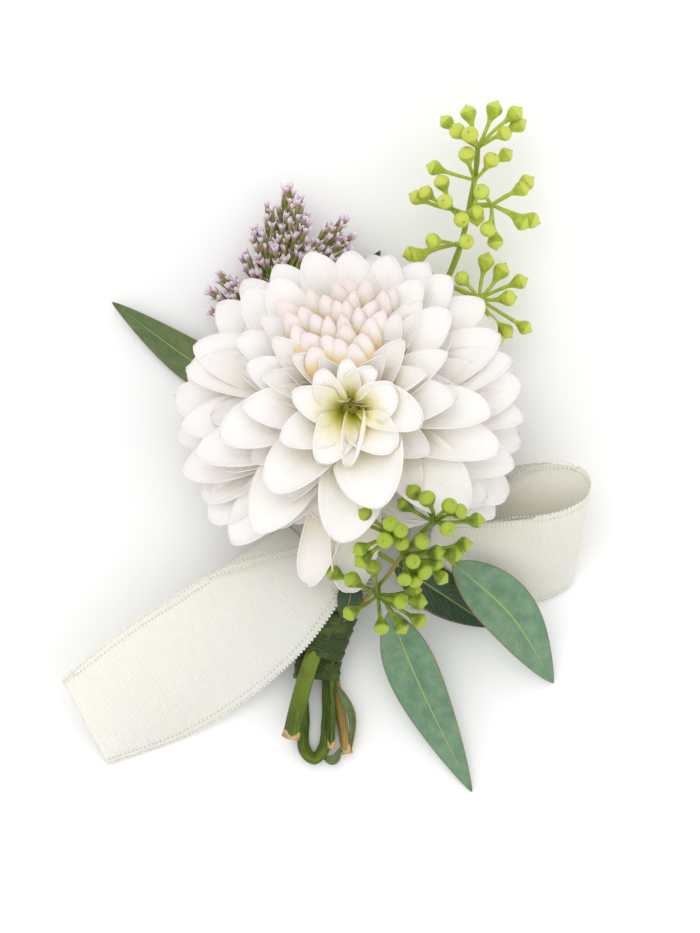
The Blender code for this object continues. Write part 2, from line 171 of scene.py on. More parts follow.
def petal_look():
    """White petal: cream toward its base and pale yellow by the throat, painted as a warm glow; green in the
    throat; painted lilac-grey shade at its edges and tips; pink at the tips of the unopened florets, which on
    the hanging petals is painted shade.
    """
    look = Look("petal", 0.5)
    along = look.attribute("along")
    across = look.math("ABSOLUTE", look.attribute("across"))
    blush = look.attribute("blush")
    green = look.attribute("green")
    cloud = look.noise(160)
    white = look.mix(look.between(cloud, 0.35, 0.7), (0.94, 0.91, 0.88), (0.96, 0.94, 0.91))
    # Painted glow: the cream toward the base and the pale yellow by the throat stand for light shining through
    # the layered petals.
    cream = look.between(along, 0.90, 0.25)
    body = look.tint(white, cream, 0.85, (0.97, 0.885, 0.67))
    glow = look.times(look.between(along, 0.90, 0.42), green)
    body = look.tint(body, glow, 0.85, (0.95, 0.90, 0.48))
    deep = look.times(look.between(along, 0.64, 0.34), green)
    body = look.mix(deep, body, (0.66, 0.63, 0.07))
    # Painted shade: lilac-grey at the edges and tips, where the petals lie in shadow.
    edge = look.math("MAXIMUM", look.between(across, 0.70, 1.0), look.between(along, 0.88, 1.0))
    body = look.tint(body, edge, 0.18, (0.89, 0.80, 0.83))
    # Pink at the tips: real on the closed florets, painted shade on the hanging petals, where it stands for
    # their lilac inner shading.
    pink = look.times(blush, look.between(along, 0.70, 1.0))
    body = look.tint(body, pink, 0.8, (0.97, 0.78, 0.76))
    peach = look.times(blush, look.between(along, 0.86, 0.50, 0.0, 0.95))
    body = look.mix(peach, body, (0.98, 0.74, 0.40))
    lines = look.streaks(13.0, 1.0)
    veins = look.noise(1.0, 3, lines)
    look.colour(look.mix(look.between(veins, 0.54, 0.72, 0.0, 0.14), body, (0.86, 0.80, 0.80)))
    look.rough(look.between(cloud, 0.2, 0.8, 0.44, 0.60))
    look.bump(look.plus(veins, look.times(look.noise(2600, 2), 0.2)), 0.00025, 0.7)
    look.subsurface(0.15, (1.0, 1.0, 0.9), 0.0008)
    look.shader.inputs["Specular IOR Level"].default_value = 0.35
    return look.material


def core_look():
    """The heart: olive flecks at its foot, warm peach where the closed florets stand."""
    look = Look("dahlia_core", 0.6)
    fleck = look.noise(900)
    foot = look.mix(fleck, (0.34, 0.35, 0.04), (0.66, 0.63, 0.16))
    dome = look.mix(fleck, (0.95, 0.72, 0.36), (0.98, 0.84, 0.55))
    look.colour(look.mix(look.between(look.attribute("along"), 0.35, 0.60), foot, dome))
    look.bump(fleck, 0.0006)
    look.subsurface(0.1, (1, 0.9, 0.6), 0.0010)
    return look.material


def leaf_look(name, deep, pale):
    """Grey-green eucalyptus blade with a light midrib, faint side veins and a thin reddish edge."""
    look = Look(name, 0.45)
    along = look.attribute("along")
    side = look.math("ABSOLUTE", look.attribute("across"))
    mottle = look.noise(300, 7, roughness=0.65)
    body = look.mix(look.between(mottle, 0.28, 0.74), deep, pale)
    slant = look.math("SUBTRACT", look.times(along, 26.0), look.times(side, 8.0))
    wave = look.math("SINE", look.times(slant, 3.1))
    wobble = look.noise(420, 4)
    lines = look.between(look.plus(wave, look.times(wobble, 1.4)), 1.35, 1.9)
    body = look.tint(body, lines, 0.16, (0.24, 0.38, 0.18))
    speck = look.between(look.noise(3600, 2), 0.60, 0.70)
    body = look.tint(body, speck, 0.25, (0.26, 0.38, 0.22))
    rib = look.between(side, 0.055, 0.018)
    body = look.tint(body, rib, 0.75, (0.36, 0.42, 0.12))
    margin = look.between(side, 0.962, 0.995)
    body = look.tint(body, margin, 0.9, (0.30, 0.17, 0.07))
    look.colour(body)
    look.rough(look.between(mottle, 0.25, 0.75, 0.40, 0.60))
    grain = look.plus(look.times(look.noise(3200, 2), 0.5), look.times(lines, 0.4))
    look.bump(grain, 0.00010, 0.8)
    look.subsurface(0.08, (0.4, 1.0, 0.3), 0.0008)
    return look.material


def bud_look(name, body_colour, shade_colour, cap_colour):
    """Waxy bud: green pedicel, brighter cup, a faint ring under the cap and a browned nib."""
    look = Look(name, 0.40)
    along = look.attribute("along")
    mottle = look.noise(600, 5)
    body = look.mix(look.between(mottle, 0.3, 0.7), shade_colour, body_colour)
    body = look.mix(look.between(along, 0.5, 0.1, 0.0, 0.7), body, shade_colour)
    cap = look.between(along, 0.78, 0.84)
    body = look.mix(cap, body, cap_colour)
    ring = look.times(look.between(along, 0.765, 0.785), look.between(along, 0.81, 0.79))
    body = look.tint(body, ring, 0.35, (0.30, 0.26, 0.04))
    tip = look.between(along, 0.955, 1.0)
    body = look.tint(body, tip, 0.7, (0.30, 0.21, 0.05))
    speck = look.between(look.noise(2400, 2), 0.66, 0.76)
    look.colour(look.tint(body, speck, 0.3, (0.50, 0.52, 0.12)))
    look.rough(look.between(mottle, 0.2, 0.8, 0.32, 0.50))
    look.bump(look.noise(2200, 3), 0.00010, 0.8)
    look.subsurface(0.12, (0.7, 1.0, 0.2), 0.0010)
    return look.material


def stem_look(name, light, dark, scar, young):
    """Fresh stem: lengthwise streaks and browned patches, paler toward its young end."""
    look = Look(name, 0.36)
    along = look.attribute("along")
    fibres = look.streaks(22.0, 5.0)
    streak = look.noise(1.0, 5, fibres)
    broad = look.streaks(3.0, 1.2, 4.0)
    bands = look.noise(1.0, 3, broad)
    tone = look.plus(look.times(streak, 0.5), look.times(bands, 0.5))
    body = look.mix(look.between(tone, 0.38, 0.64), dark, light)
    fresh = look.mix(look.between(tone, 0.35, 0.65, 0.0, 0.45), young, light)
    body = look.mix(look.between(along, 6.5, 4.0), body, fresh)
    patch = look.between(look.noise(190, 6, roughness=0.6), 0.58, 0.70)
    body = look.tint(body, patch, 0.5, scar)
    cut = look.attribute("cut")
    rings = look.math("SINE", look.times(cut, 17.0))
    wood = look.mix(look.between(rings, -1, 1), (0.36, 0.20, 0.06), (0.58, 0.42, 0.18))
    look.colour(look.mix(look.between(cut, 0.01, 0.04), body, wood))
    look.rough(look.between(streak, 0.2, 0.8, 0.28, 0.48))
    look.bump(look.plus(streak, look.times(look.noise(1500, 3), 0.4)), 0.00028, 0.8)
    look.subsurface(0.06, (0.6, 1.0, 0.3), 0.0008)
    look.shader.inputs["Specular IOR Level"].default_value = 0.3
    return look.material


def tape_look():
    """Waxed crepe tape: fine cross creases, painted darker in their hollows and lighter on their ridges as
    shade and light, and lighter worn patches.
    """
    look = Look("floral_tape", 0.42)
    creases = look.streaks(30.0, 7.0)
    crease = look.noise(1.0, 5, creases)
    worn = look.noise(260, 5)
    # Painted shade and light: the crease noise that makes the bump also darkens the hollows and lightens the
    # ridges.
    body = look.mix(look.between(crease, 0.35, 0.75), (0.020, 0.038, 0.005), (0.070, 0.115, 0.012))
    look.colour(look.mix(look.between(worn, 0.5, 0.7, 0.0, 0.5), body, (0.13, 0.20, 0.025)))
    look.rough(look.between(crease, 0.2, 0.8, 0.30, 0.58))
    look.bump(crease, 0.0006)
    return look.material


def satin_look():
    """Ivory satin: fine weft lines across its width, soft sheen along it, and stitch holes inside each edge."""
    look = Look("satin", 0.34)
    along = look.attribute("along")
    across = look.attribute("across")
    slanted = look.plus(along, look.times(across, 0.12))
    lines = look.math("SINE", look.times(slanted, 11.0))
    fine = look.math("SINE", look.times(along, 23.0))
    crosswise = look.streaks(0.25, 4.0)
    threads = look.noise(1.0, 4, crosswise)
    lengthwise = look.streaks(5.0, 0.3)
    slub = look.noise(1.0, 3, lengthwise)
    cloud = look.noise(38, 3)
    tone = look.plus(look.times(lines, 0.16), threads)
    body = look.mix(look.between(tone, 0.25, 0.8), (0.84, 0.81, 0.69), (0.91, 0.89, 0.81))
    body = look.mix(look.between(slub, 0.55, 0.75, 0.0, 0.22), body, (0.82, 0.79, 0.66))
    body = look.mix(look.between(cloud, 0.42, 0.62, 0.0, 0.6), body, (0.87, 0.82, 0.66))
    from_edge = look.math("MINIMUM", across, look.math("SUBTRACT", RIBBON_WIDTH, across))
    row = look.times(look.between(from_edge, 0.95, 1.15), look.between(from_edge, 1.6, 1.4))
    holes = look.times(row, look.between(look.math("SINE", look.times(along, 7.4)), 0.1, 0.8))
    look.colour(look.tint(body, holes, 0.6, (0.56, 0.52, 0.40)))
    look.rough(look.between(threads, 0.25, 0.75, 0.26, 0.42))
    weave = look.plus(look.times(lines, 0.5), look.times(fine, 0.3))
    height = look.math("SUBTRACT", look.plus(weave, threads), look.times(holes, 4.0))
    look.bump(height, 0.00006, 0.7)
    look.shader.inputs["Sheen Weight"].default_value = 0.2
    look.shader.inputs["Sheen Roughness"].default_value = 0.35
    look.shader.inputs["Anisotropic"].default_value = 0.45
    look.shader.inputs["Specular IOR Level"].default_value = 0.65
    look.subsurface(0.6, (1.0, 0.97, 0.85), 0.0012)
    return look.material


def thread_look():
    look = Look("selvedge_thread", 0.5)
    strand = look.noise(5200, 2)
    look.colour(look.mix(strand, (0.80, 0.77, 0.64), (0.92, 0.90, 0.80)))
    look.bump(strand, 0.00008)
    return look.material


def lavender_look():
    """Sea lavender florets: pale lilac-pink petals with white tips."""
    look = Look("sea_lavender_petal", 0.6)
    along = look.attribute("along")
    tone = look.noise(900, 3)
    lilac = look.mix(look.between(tone, 0.3, 0.7), (0.58, 0.34, 0.46), (0.80, 0.58, 0.70))
    look.colour(look.mix(look.between(along, 0.2, 0.9), lilac, (0.90, 0.80, 0.86)))
    look.bump(tone, 0.0001)
    look.subsurface(0.3, (1.0, 0.9, 1.0), 0.0006)
    return look.material


def calyx_look():
    """Ribbed sea lavender calyx: olive green, browned and pink at its mouth."""
    look = Look("sea_lavender_calyx", 0.55)
    along = look.attribute("along")
    tone = look.noise(1100, 3)
    green = look.mix(look.between(tone, 0.3, 0.7), (0.08, 0.12, 0.012), (0.25, 0.29, 0.04))
    look.colour(look.mix(look.between(along, 0.62, 1.0, 0.0, 0.85), green, (0.46, 0.25, 0.24)))
    look.bump(tone, 0.0002)
    return look.material


PETAL = petal_look()
CORE = core_look()
LEAF_GREY = leaf_look("leaf_grey_green", (0.095, 0.200, 0.110), (0.190, 0.320, 0.190))
LEAF_GREEN = leaf_look("leaf_fresh_green", (0.070, 0.125, 0.032), (0.150, 0.215, 0.070))
LEAF_DARK = leaf_look("leaf_dark_green", (0.018, 0.045, 0.018), (0.045, 0.085, 0.035))
BUD_BRIGHT = bud_look("bud_bright", (0.52, 0.60, 0.055), (0.33, 0.43, 0.03), (0.56, 0.63, 0.08))
BUD_DEEP = bud_look("bud_deep", (0.30, 0.41, 0.020), (0.11, 0.18, 0.008), (0.35, 0.46, 0.03))
STEM_GREEN = stem_look(
    "stem_green", (0.110, 0.180, 0.005), (0.016, 0.040, 0.002),
    (0.13, 0.075, 0.012), (0.18, 0.26, 0.02),
)
STEM_LIGHT = stem_look(
    "stem_light", (0.150, 0.210, 0.006), (0.035, 0.070, 0.003),
    (0.17, 0.14, 0.015), (0.38, 0.46, 0.04),
)
STEM_WOODY = stem_look(
    "stem_woody", (0.42, 0.27, 0.07), (0.16, 0.09, 0.022),
    (0.09, 0.05, 0.02), (0.30, 0.27, 0.05),
)
TAPE = tape_look()
SATIN = satin_look()
THREAD = thread_look()
LILAC = lavender_look()
SPRAY_GREEN = calyx_look()


# ---- mesh building


class Build:
    """Collects points, faces and per-point values of one piece, in millimetres."""

    def __init__(self):
        self.points = []
        self.faces = []
        self.values = {}

    def add_points(self, points, **values):
        start = len(self.points)
        self.points.extend(points)
        for key in set(self.values) | set(values):
            column = self.values.setdefault(key, [0.0] * start)
            column.extend(values.get(key, [0.0] * len(points)))
        return start

    def add_grid(self, rows, closed=False, **values):
        """Rows of equal length joined by quads; closed joins each row's ends."""
        width = len(rows[0])
        start = self.add_points([spot for row in rows for spot in row], **values)
        for r in range(len(rows) - 1):
            for c in range(width if closed else width - 1):
                a = start + r * width + c
                b = start + r * width + (c + 1) % width
                self.faces.append((a, b, b + width, a + width))
        return start


def add_piece(name, build, look, thickness=0.0, replaces=()):
    """A finished piece on the root body."""
    mesh = bpy.data.meshes.new(name)
    mesh.from_pydata([tuple(Vector(spot) * MM) for spot in build.points], [], build.faces)
    for key, column in build.values.items():
        mesh.attributes.new(key, "FLOAT", "POINT").data.foreach_set("value", column)
    mesh.materials.append(look)
    mesh.shade_smooth()
    mesh.update()
    piece = bpy.data.objects.new(name, mesh)
    bpy.context.scene.collection.objects.link(piece)
    if thickness:
        solid = piece.modifiers.new("Thickness", "SOLIDIFY")
        solid.thickness = thickness * MM
        solid.offset = 0
    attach(piece, "root")
    if replaces:
        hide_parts(*replaces)
    return piece


def path_length(points):
    return sum((b - a).length for a, b in zip(points, points[1:]))


def catmull(points, samples):
    """Points on a smooth curve through the given ones, ends included."""
    points = [Vector(p) for p in points]
    padded = [2 * points[0] - points[1]] + points + [2 * points[-1] - points[-2]]
    spans = len(points) - 1
    result = []
    for i in range(samples + 1):
        place = i / samples * spans
        k = min(int(place), spans - 1)
        t = place - k
        a, b, c, d = padded[k : k + 4]
        result.append(
            0.5 * (2 * b + (c - a) * t + (2 * a - 5 * b + 4 * c - d) * t**2 + (3 * b - a - 3 * c + d) * t**3)
        )
    return result


def smooth(t):
    t = min(max(t, 0.0), 1.0)
    return t * t * (3 - 2 * t)


def frames_along(path):
    """Tangent, side and rise at each point of a path, turned as little as possible from one to the next."""
    tangents = []
    for k in range(len(path)):
        ahead = path[min(k + 1, len(path) - 1)] - path[max(k - 1, 0)]
        tangents.append(ahead.normalized())
    hint = Vector((0, 0, 1)) if abs(tangents[0].z) < 0.9 else Vector((1, 0, 0))
    side = tangents[0].cross(hint).normalized()
    result = []
    for tangent in tangents:
        side = (side - tangent * side.dot(tangent)).normalized()
        result.append((tangent, side, side.cross(tangent)))
    return result


# ---- dahlia


# Each petal: where its tip stands seen from above (x, y), its width, and a kind that sets its curl.
PETALS = {
    "closed": [
        (3.6, 24.2, 5.6), (-0.4, 22.1, 5.4), (7.3, 22.5, 5.4), (-4.4, 22.6, 5.2), (-0.6, 30.1, 4.8),
        (1.9, 29.1, 4.6), (5.5, 31.0, 4.8), (4.5, 33.8, 4.8), (8.9, 25.6, 5.0), (-6.4, 24.2, 5.0),
        (-9.5, 29.1, 5.6), (11.5, 31.0, 5.0), (13.6, 31.7, 5.2), (-2.7, 26.3, 4.4), (6.3, 27.7, 4.4),
        (3.1, 26.3, 4.2), (0.3, 25.9, 4.2), (3.9, 29.0, 4.2), (-5.0, 27.8, 4.8), (9.6, 29.0, 4.8),
        (1.6, 32.6, 4.6), (-3.4, 31.4, 4.8), (8.2, 33.2, 4.8), (-8.0, 26.4, 5.0), (11.4, 27.0, 5.0),
        (2.2, 21.4, 5.2), (5.4, 20.6, 5.2), (-2.6, 19.8, 5.2),
    ],
    "cupped": [
        (-6.7, 18.0, 7.6), (15.4, 21.0, 7.4), (14.3, 26.6, 6.6), (-12.7, 13.8, 7.6), (-10.6, 21.6, 7.2),
        (-13.0, 26.0, 7.0), (18.6, 29.0, 7.2), (20.0, 14.6, 8.2), (11.4, 18.0, 6.6), (-1.0, 17.6, 5.8),
    ],
    "throat": [
        (-1.2, -3.0, 8.8), (13.4, -0.4, 9.4), (18.9, 5.0, 9.6), (-6.6, 10.6, 7.6), (4.0, 17.4, 4.8),
        (13.6, 11.4, 8.4), (9.4, 15.6, 5.6), (-1.4, 15.2, 5.6),
    ],
    "rolled": [(4.4, -3.6, 4.4)],
    "open": [
        (10.5, -11.8, 14.8), (3.1, -18.6, 13.6), (27.8, -12.2, 13.8), (-11.1, -8.4, 12.0), (-16.5, 8.2, 9.8),
        (-20.9, 2.4, 11.4), (23.9, 18.7, 9.2), (24.1, 27.4, 9.6), (25.3, 9.6, 10.0), (32.4, 7.0, 11.0),
        (34.1, -0.4, 11.2), (-15.5, 16.6, 8.8), (-17.5, 21.8, 9.4), (-16.0, 31.5, 9.6), (-10.4, 33.6, 9.0),
        (18.4, 33.4, 8.8), (-9.0, 1.2, 9.8),
    ],
    "outer": [
        (35.0, -14.4, 11.0), (-25.8, -1.4, 11.6), (-29.5, -5.0, 11.4), (-30.3, 10.3, 11.2),
        (-29.0, 4.5, 11.0), (-26.2, 20.5, 11.0), (-27.8, 15.6, 11.0), (38.6, 12.8, 11.2), (39.0, 5.8, 11.2),
        (34.4, 22.6, 10.8), (37.1, -3.9, 11.8), (37.0, -10.0, 11.4), (31.3, 29.5, 10.4), (24.4, 34.3, 10.0),
        (19.6, 37.0, 9.6), (12.4, 38.4, 9.4), (4.6, 39.2, 10.6), (-3.0, 39.2, 10.2), (-9.8, 36.6, 9.8),
        (-22.0, 28.9, 10.0), (-16.8, 34.0, 9.4), (36.8, 17.8, 10.8), (-14.1, -16.7, 12.4), (-23.5, -15.0, 12.4),
    ],
    "drooping": [(-19.0, -18.6, 11.4), (21.0, -13.5, 12.0)],
    "hanging": [(-3.8, -27.2, 7.6), (4.6, -28.8, 10.0)],
}
# Each kind: half-angle of its curl at base and at tip, bow, bend of the tip,
# where it is widest, how pointed it is, and the pink at its tip, real on the closed florets and painted shade
# on the hanging petals.
KINDS = {
    "closed": (1.45, 1.15, 0.09, 0.0, 0.48, 0.45, 1.0),
    "cupped": (1.2, 1.0, 0.12, -0.02, 0.62, 0.35, 0.15),
    "throat": (0.55, 1.1, 0.0, 0.0, 0.66, 0.1, 0.0),
    "rolled": (1.6, 2.2, 0.0, 0.0, 0.66, 0.0, 0.0),
    "open": (0.9, 0.58, 0.15, -0.05, 0.68, 0.12, 0.0),
    "outer": (0.9, 0.5, 0.11, -0.06, 0.64, 0.30, 0.05),
    "drooping": (0.9, 0.5, 0.16, -0.04, 0.68, 0.2, 0.0),
    "hanging": (1.8, 1.5, 0.12, -0.02, 0.60, 0.35, 0.15),
    "filler": (1.0, 0.7, 0.12, -0.05, 0.66, 0.25, 0.10),
    "rear": (0.9, 0.5, 0.10, -0.08, 0.66, 0.25, 0.05),
}
# How far tips stand from the head's centre, by their angle from its axis.
REACH = [(0, 27), (30, 29), (45, 31), (60, 33), (80, 35), (100, 36), (180, 36)]
# The head's outline seen from above, by heading.
OUTLINE = [(-180, 35), (-142, 34.5), (-130, 29.5), (-118, 24), (-95, 22.5), (-68, 22.5)]
OUTLINE += [(-42, 31), (-20, 35), (0, 34), (45, 33), (90, 30.5), (135, 33), (180, 35)]


def table_at(table, place):
    """The value at a place in a table of (place, value) pairs, straight between them."""
    for (low, start), (high, stop) in zip(table, table[1:]):
        if place <= high:
            return start + (stop - start) * (place - low) / (high - low)
    return table[-1][1]


def tip_over(x, y):
    """The petal tip that stands over (x, y) seen from above, in the head's own space before it is flattened."""
    flat = Vector((x - HEAD_CENTRE.x, y - HEAD_CENTRE.y, 0))
    out = flat.normalized()
    low, high = 0.0, math.pi / 2
    for _ in range(30):
        lean = (low + high) / 2
        spot = out * math.sin(lean) + Vector((0, 0, math.cos(lean)))
        reach = table_at(REACH, math.degrees(spot.angle(HEAD_AXIS)))
        if reach * math.sin(lean) < flat.length:
            low = lean
        else:
            high = lean
    return spot * reach


def petal_tip(kind, x, y):
    """A tip on the ball of the head, except where petals spread from the throat or droop."""
    flat = Vector((x - HEAD_CENTRE.x, y - HEAD_CENTRE.y, 0))
    if kind in ("throat", "rolled"):
        return flat + Vector((0, 0, 27.5 - 0.1 * flat.length))
    if kind == "drooping":
        return flat + Vector((0, 0, 3.0))
    if kind == "hanging":
        return flat + Vector((0, 0, -3.0))
    return tip_over(x, y)


def petal_outline(t, widest, pointed, foot):
    """Half the width over the greatest half width, from the narrow base to the round or pointed tip."""
    if t < widest:
        return foot + (1 - foot) * smooth(t / widest) ** 0.85
    s = (t - widest) / (1 - widest)
    return max(0.02, (1 - s ** (2.5 - 0.9 * pointed)) ** (0.5 + 0.4 * pointed))


def petal_spine(base, tip, kind, bow, tip_bend, rows):
    """Points from base to tip: arched toward the viewer, closed over the axis, or spread from the throat."""
    chord = tip - base
    length = chord.length
    ahead = chord.normalized()
    steps = [1 - (1 - r / rows) ** 1.45 for r in range(rows + 1)]
    if kind in ("throat", "rolled"):
        out = Vector((tip.x, tip.y, 0)).normalized()
        start = out * 0.7 + Vector((0, 0, 1))
        bend = out * 1.7 + Vector((0, 0, tip.z + 2.0))
        return steps, [start * (1 - t) ** 2 + bend * 2 * t * (1 - t) + tip * t * t for t in steps]
    rise = (Vector((0, 0, 1)) - ahead * ahead.z).normalized()
    arch = [length * (bow * math.sin(math.pi * t**1.3) + tip_bend * (t**4 - t)) for t in steps]
    return steps, [base + ahead * length * t + rise * high for t, high in zip(steps, arch)]


def petal_build(base, tip, width, kind, green, rng):
    """A petal between two points in the head's own space, as a curled and bowed sheet."""
    curl_base, curl_tip, bow, tip_bend, widest, pointed, blush = KINDS[kind]
    rows, columns = 22, 14
    length = (tip - base).length
    steps, spine = petal_spine(base, tip, kind, bow * rng.uniform(0.8, 1.25), tip_bend, rows)
    foot = 0.22
    inward = (HEAD_AXIS * 0.65 + Vector((0, 0, 0.35))).normalized()
    if kind in ("throat", "rolled"):
        inward = Vector((0, 0, 1)) - Vector((tip.x, tip.y, 0)).normalized() * 0.6
    if kind == "closed":
        foot = 0.5
        inward = Vector((0, 0.1, -1))
    twist = rng.uniform(-0.24, 0.24)
    widest += rng.uniform(-0.05, 0.04)
    pointed += rng.uniform(-0.1, 0.22)
    ripple_phase = rng.uniform(0, 6.28)
    ripple_size = rng.uniform(0.015, 0.045) * width
    lean = rng.uniform(-0.06, 0.06) * length
    grid, alongs, acrosses = [], [], []
    for r, t in enumerate(steps):
        ahead = (spine[min(r + 1, rows)] - spine[max(r - 1, 0)]).normalized()
        inner = Matrix.Rotation(twist, 3, ahead) @ (inward - ahead * inward.dot(ahead)).normalized()
        side = ahead.cross(inner)
        middle_spot = spine[r] + side * lean * math.sin(math.pi * t)
        half = 0.5 * width * petal_outline(t, widest, max(pointed, 0.0), foot)
        half = min(half, 0.4 + 0.62 * math.hypot(spine[r].x, spine[r].y))
        curl = curl_base + (curl_tip - curl_base) * smooth(t * 1.15)
        spread = max(math.sin(min(curl, math.pi / 2)), 0.2)
        row = []
        for c in range(columns + 1):
            v = 2 * c / columns - 1
            out = half * math.sin(v * curl) / spread
            lift = half * (1 - math.cos(v * curl)) / spread + 0.12 * half * abs(v) ** 7
            lift += ripple_size * math.sin(7 * t + ripple_phase + 2 * v) * abs(v) ** 3 * smooth(t * 2)
            lift += 0.014 * width * math.cos(v * 9.4) * math.sin(math.pi * t)
            crease = smooth((t - 0.3) / 0.5) * smooth((1 - t) / 0.2)
            lift -= 0.05 * width * math.exp(-((v / 0.22) ** 2)) * crease
            row.append(settle(middle_spot + side * out + inner * lift))
            alongs.append(t)
            acrosses.append(v)
        grid.append(row)
    build = Build()
    count = len(alongs)
    build.add_grid(grid, along=alongs, across=acrosses, blush=[blush] * count, green=[green] * count)
    return build


def around_axis(polar, azimuth, reach):
    """A point by its angle from the head's axis and its turn about it, within the outline."""
    polar, azimuth = math.radians(polar), math.radians(azimuth)
    spot = Vector((math.sin(polar) * math.cos(azimuth), math.sin(polar) * math.sin(azimuth), math.cos(polar)))
    spot = HEAD_TURN @ spot * reach
    wide = math.hypot(spot.x, spot.y)
    limit = table_at(OUTLINE, math.degrees(math.atan2(spot.y, spot.x)))
    shrink = min(1.0, limit / wide)
    return Vector((spot.x * shrink, spot.y * shrink, spot.z))


def settle(spot):
    """A point of the head's own space, flattened, put in its place and kept above the table."""
    placed = HEAD_CENTRE + Vector((spot.x, spot.y, HEAD_FLATNESS * spot.z))
    placed.z = max(placed.z, TABLE_GAP)
    return placed


def rear_tips():
    """Tips of the reflexed petals behind the rim, which fill the head's back."""
    tips = []
    for count, polar, reach, first in ((15, 98, 35.5, 6), (14, 110, 35.0, 18), (12, 123, 33.5, 2)):
        for k in range(count):
            turn = first + 360 * k / count
            swing = 10 * math.sin(math.radians(turn) + HEAD_LEAN)
            tips.append(around_axis(polar - swing, turn, reach))
    return tips


def filler_tips():
    """Shorter petals between the whorls, which close the gaps, kept clear of the open throat."""
    tips = []
    for k in range(52):
        polar = 24 + 64 * (k / 52) ** 0.8
        tip = around_axis(polar, math.degrees(k * GOLDEN_ANGLE), table_at(REACH, polar) - 5.5)
        if Vector((tip.x, tip.y)).length > 15:
            tips.append(tip)
    return tips


def petal_base(tip, kind):
    """Where a petal leaves the small receptacle, or a closed floret its dome."""
    if kind == "closed":
        return tip - Vector((0.045 * tip.x, 0.84, 0.50)).normalized() * (10 + 0.33 * (tip.y - 11))
    polar = tip.angle(HEAD_AXIS)
    out = (tip - HEAD_AXIS * tip.dot(HEAD_AXIS)).normalized()
    return out * 3.4 * math.sin(min(polar, math.pi / 2)) + HEAD_AXIS * (2.6 * math.cos(polar) - 1.6)


def make_petals():
    rng = random.Random(SEED)
    petals = []
    tips = [(kind, petal_tip(kind, x, y), width) for kind, rows in PETALS.items() for x, y, width in rows]
    tips += [("filler", tip, rng.uniform(7.5, 9.5)) for tip in filler_tips()]
    tips += [("rear", tip, rng.uniform(11.5, 13.5)) for tip in rear_tips()]
    for number, (kind, tip, width) in enumerate(tips, 1):
        near = 1 - Vector((tip.x - 2.5, tip.y + 6.0)).length / 29
        green = 0.0 if kind in ("closed", "rear") else min(max(1.6 * near, 0.0), 1.0)
        build = petal_build(petal_base(tip, kind), tip, width, kind, green, rng)
        petals.append(add_piece(f"petal_{kind}_{number:03d}", build, PETAL, PETAL_THICKNESS))
    return petals


def stand_for_petals():
    """Hides every CAD petal; the fine petals stand in for them together."""
    bpy.context.view_layer.update()
    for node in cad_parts:
        if "_petal_" not in node:
            continue
        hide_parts(node)


def turned_grid(profile, sides, wobble=0.0):
    """Rings of a solid of revolution about the head's axis, from (radius, height) pairs, bottom to top."""
    across = HEAD_AXIS.orthogonal().normalized()
    up = HEAD_AXIS.cross(across)
    rows = []
    for radius, height in profile:
        row = []
        for k in range(sides):
            angle = 2 * math.pi * k / sides
            swell = radius * (1 + wobble * math.cos(5 * angle))
            row.append(settle(HEAD_AXIS * height + (across * math.cos(angle) + up * math.sin(angle)) * swell))
        rows.append(row)
    return rows


# Radius and height, bottom to top: the heart about the head's axis, the throat's cone, and the calyx's cup.
HEART_PROFILE = [(0.3, -5.0), (3.6, -4.6), (4.8, -2.6), (4.6, -0.4), (4.0, 2.0), (4.4, 6.0), (5.0, 10.0)]
HEART_PROFILE += [(4.8, 13.0), (3.6, 15.6), (1.8, 17.2), (0.3, 17.8)]
THROAT_CONE = [(2.6, 4.0), (2.5, 9.0), (2.2, 12.0), (1.3, 14.0), (0.2, 14.6)]
CALYX_PROFILE = [(0.3, -12.6), (2.4, -12.2), (3.2, -10.8), (5.2, -9.0)]
CALYX_PROFILE += [(7.2, -7.0), (8.0, -5.4), (7.0, -4.8), (0.3, -4.8)]
HEART_SIDES = 40
CONE_SIDES = 24
BRACTS = 8


def make_core():
    """The dome under the closed florets, and the green cone at the bottom of the throat."""
    build = Build()
    profile = [(spot.x, spot.y) for spot in catmull([(r, h, 0) for r, h in HEART_PROFILE], HEART_SIDES)]
    rows = turned_grid(profile, HEART_SIDES)
    share = [r / (len(rows) - 1) for r in range(len(rows)) for _ in range(HEART_SIDES)]
    build.add_grid(rows, closed=True, along=share)
    ring = [(math.cos(a), math.sin(a)) for a in ring_angles(CONE_SIDES)]
    rows = [[settle(Vector((x * radius, y * radius, z))) for x, y in ring] for radius, z in THROAT_CONE]
    build.add_grid(rows, closed=True, along=[0.2] * (CONE_SIDES * len(rows)))
    add_piece("dahlia_core", build, CORE, replaces=("dahlia_heart",))


def make_calyx():
    """The green cup behind the petals, with pointed bracts lying back along it."""
    build = Build()
    rows = turned_grid(CALYX_PROFILE, HEART_SIDES, 0.03)
    build.add_grid(rows, closed=True, along=[0.3] * (len(rows) * HEART_SIDES))
    add_piece("calyx_cup", build, LEAF_GREEN, replaces=("dahlia_calyx",))
    rng = random.Random(SEED + 1)
    bracts = Build()
    over = [-1, -0.5, 0, 0.5, 1]
    for k in range(BRACTS):
        azimuth = 2 * math.pi * k / BRACTS + rng.uniform(-0.1, 0.1)
        out = HEAD_TURN @ Vector((math.cos(azimuth), math.sin(azimuth), 0))
        side = HEAD_AXIS.cross(out)
        rows, alongs, acrosses = [], [], []
        for r in range(9):
            t = r / 8
            spine = out * (4.6 + 9.2 * t) + HEAD_AXIS * (-9.6 + 3.2 * math.sin(1.9 * t) - 2.6 * t * t)
            half = 2.3 * math.sin(math.pi * (0.12 + 0.88 * t) ** 0.8) + 0.12
            rows.append([settle(spine + side * half * v + HEAD_AXIS * 0.4 * v * v) for v in over])
            alongs += [t] * len(over)
            acrosses += over
        bracts.add_grid(rows, along=alongs, across=acrosses)
    add_piece("calyx_bracts", bracts, LEAF_GREEN, BRACT_THICKNESS)


# ---- stems


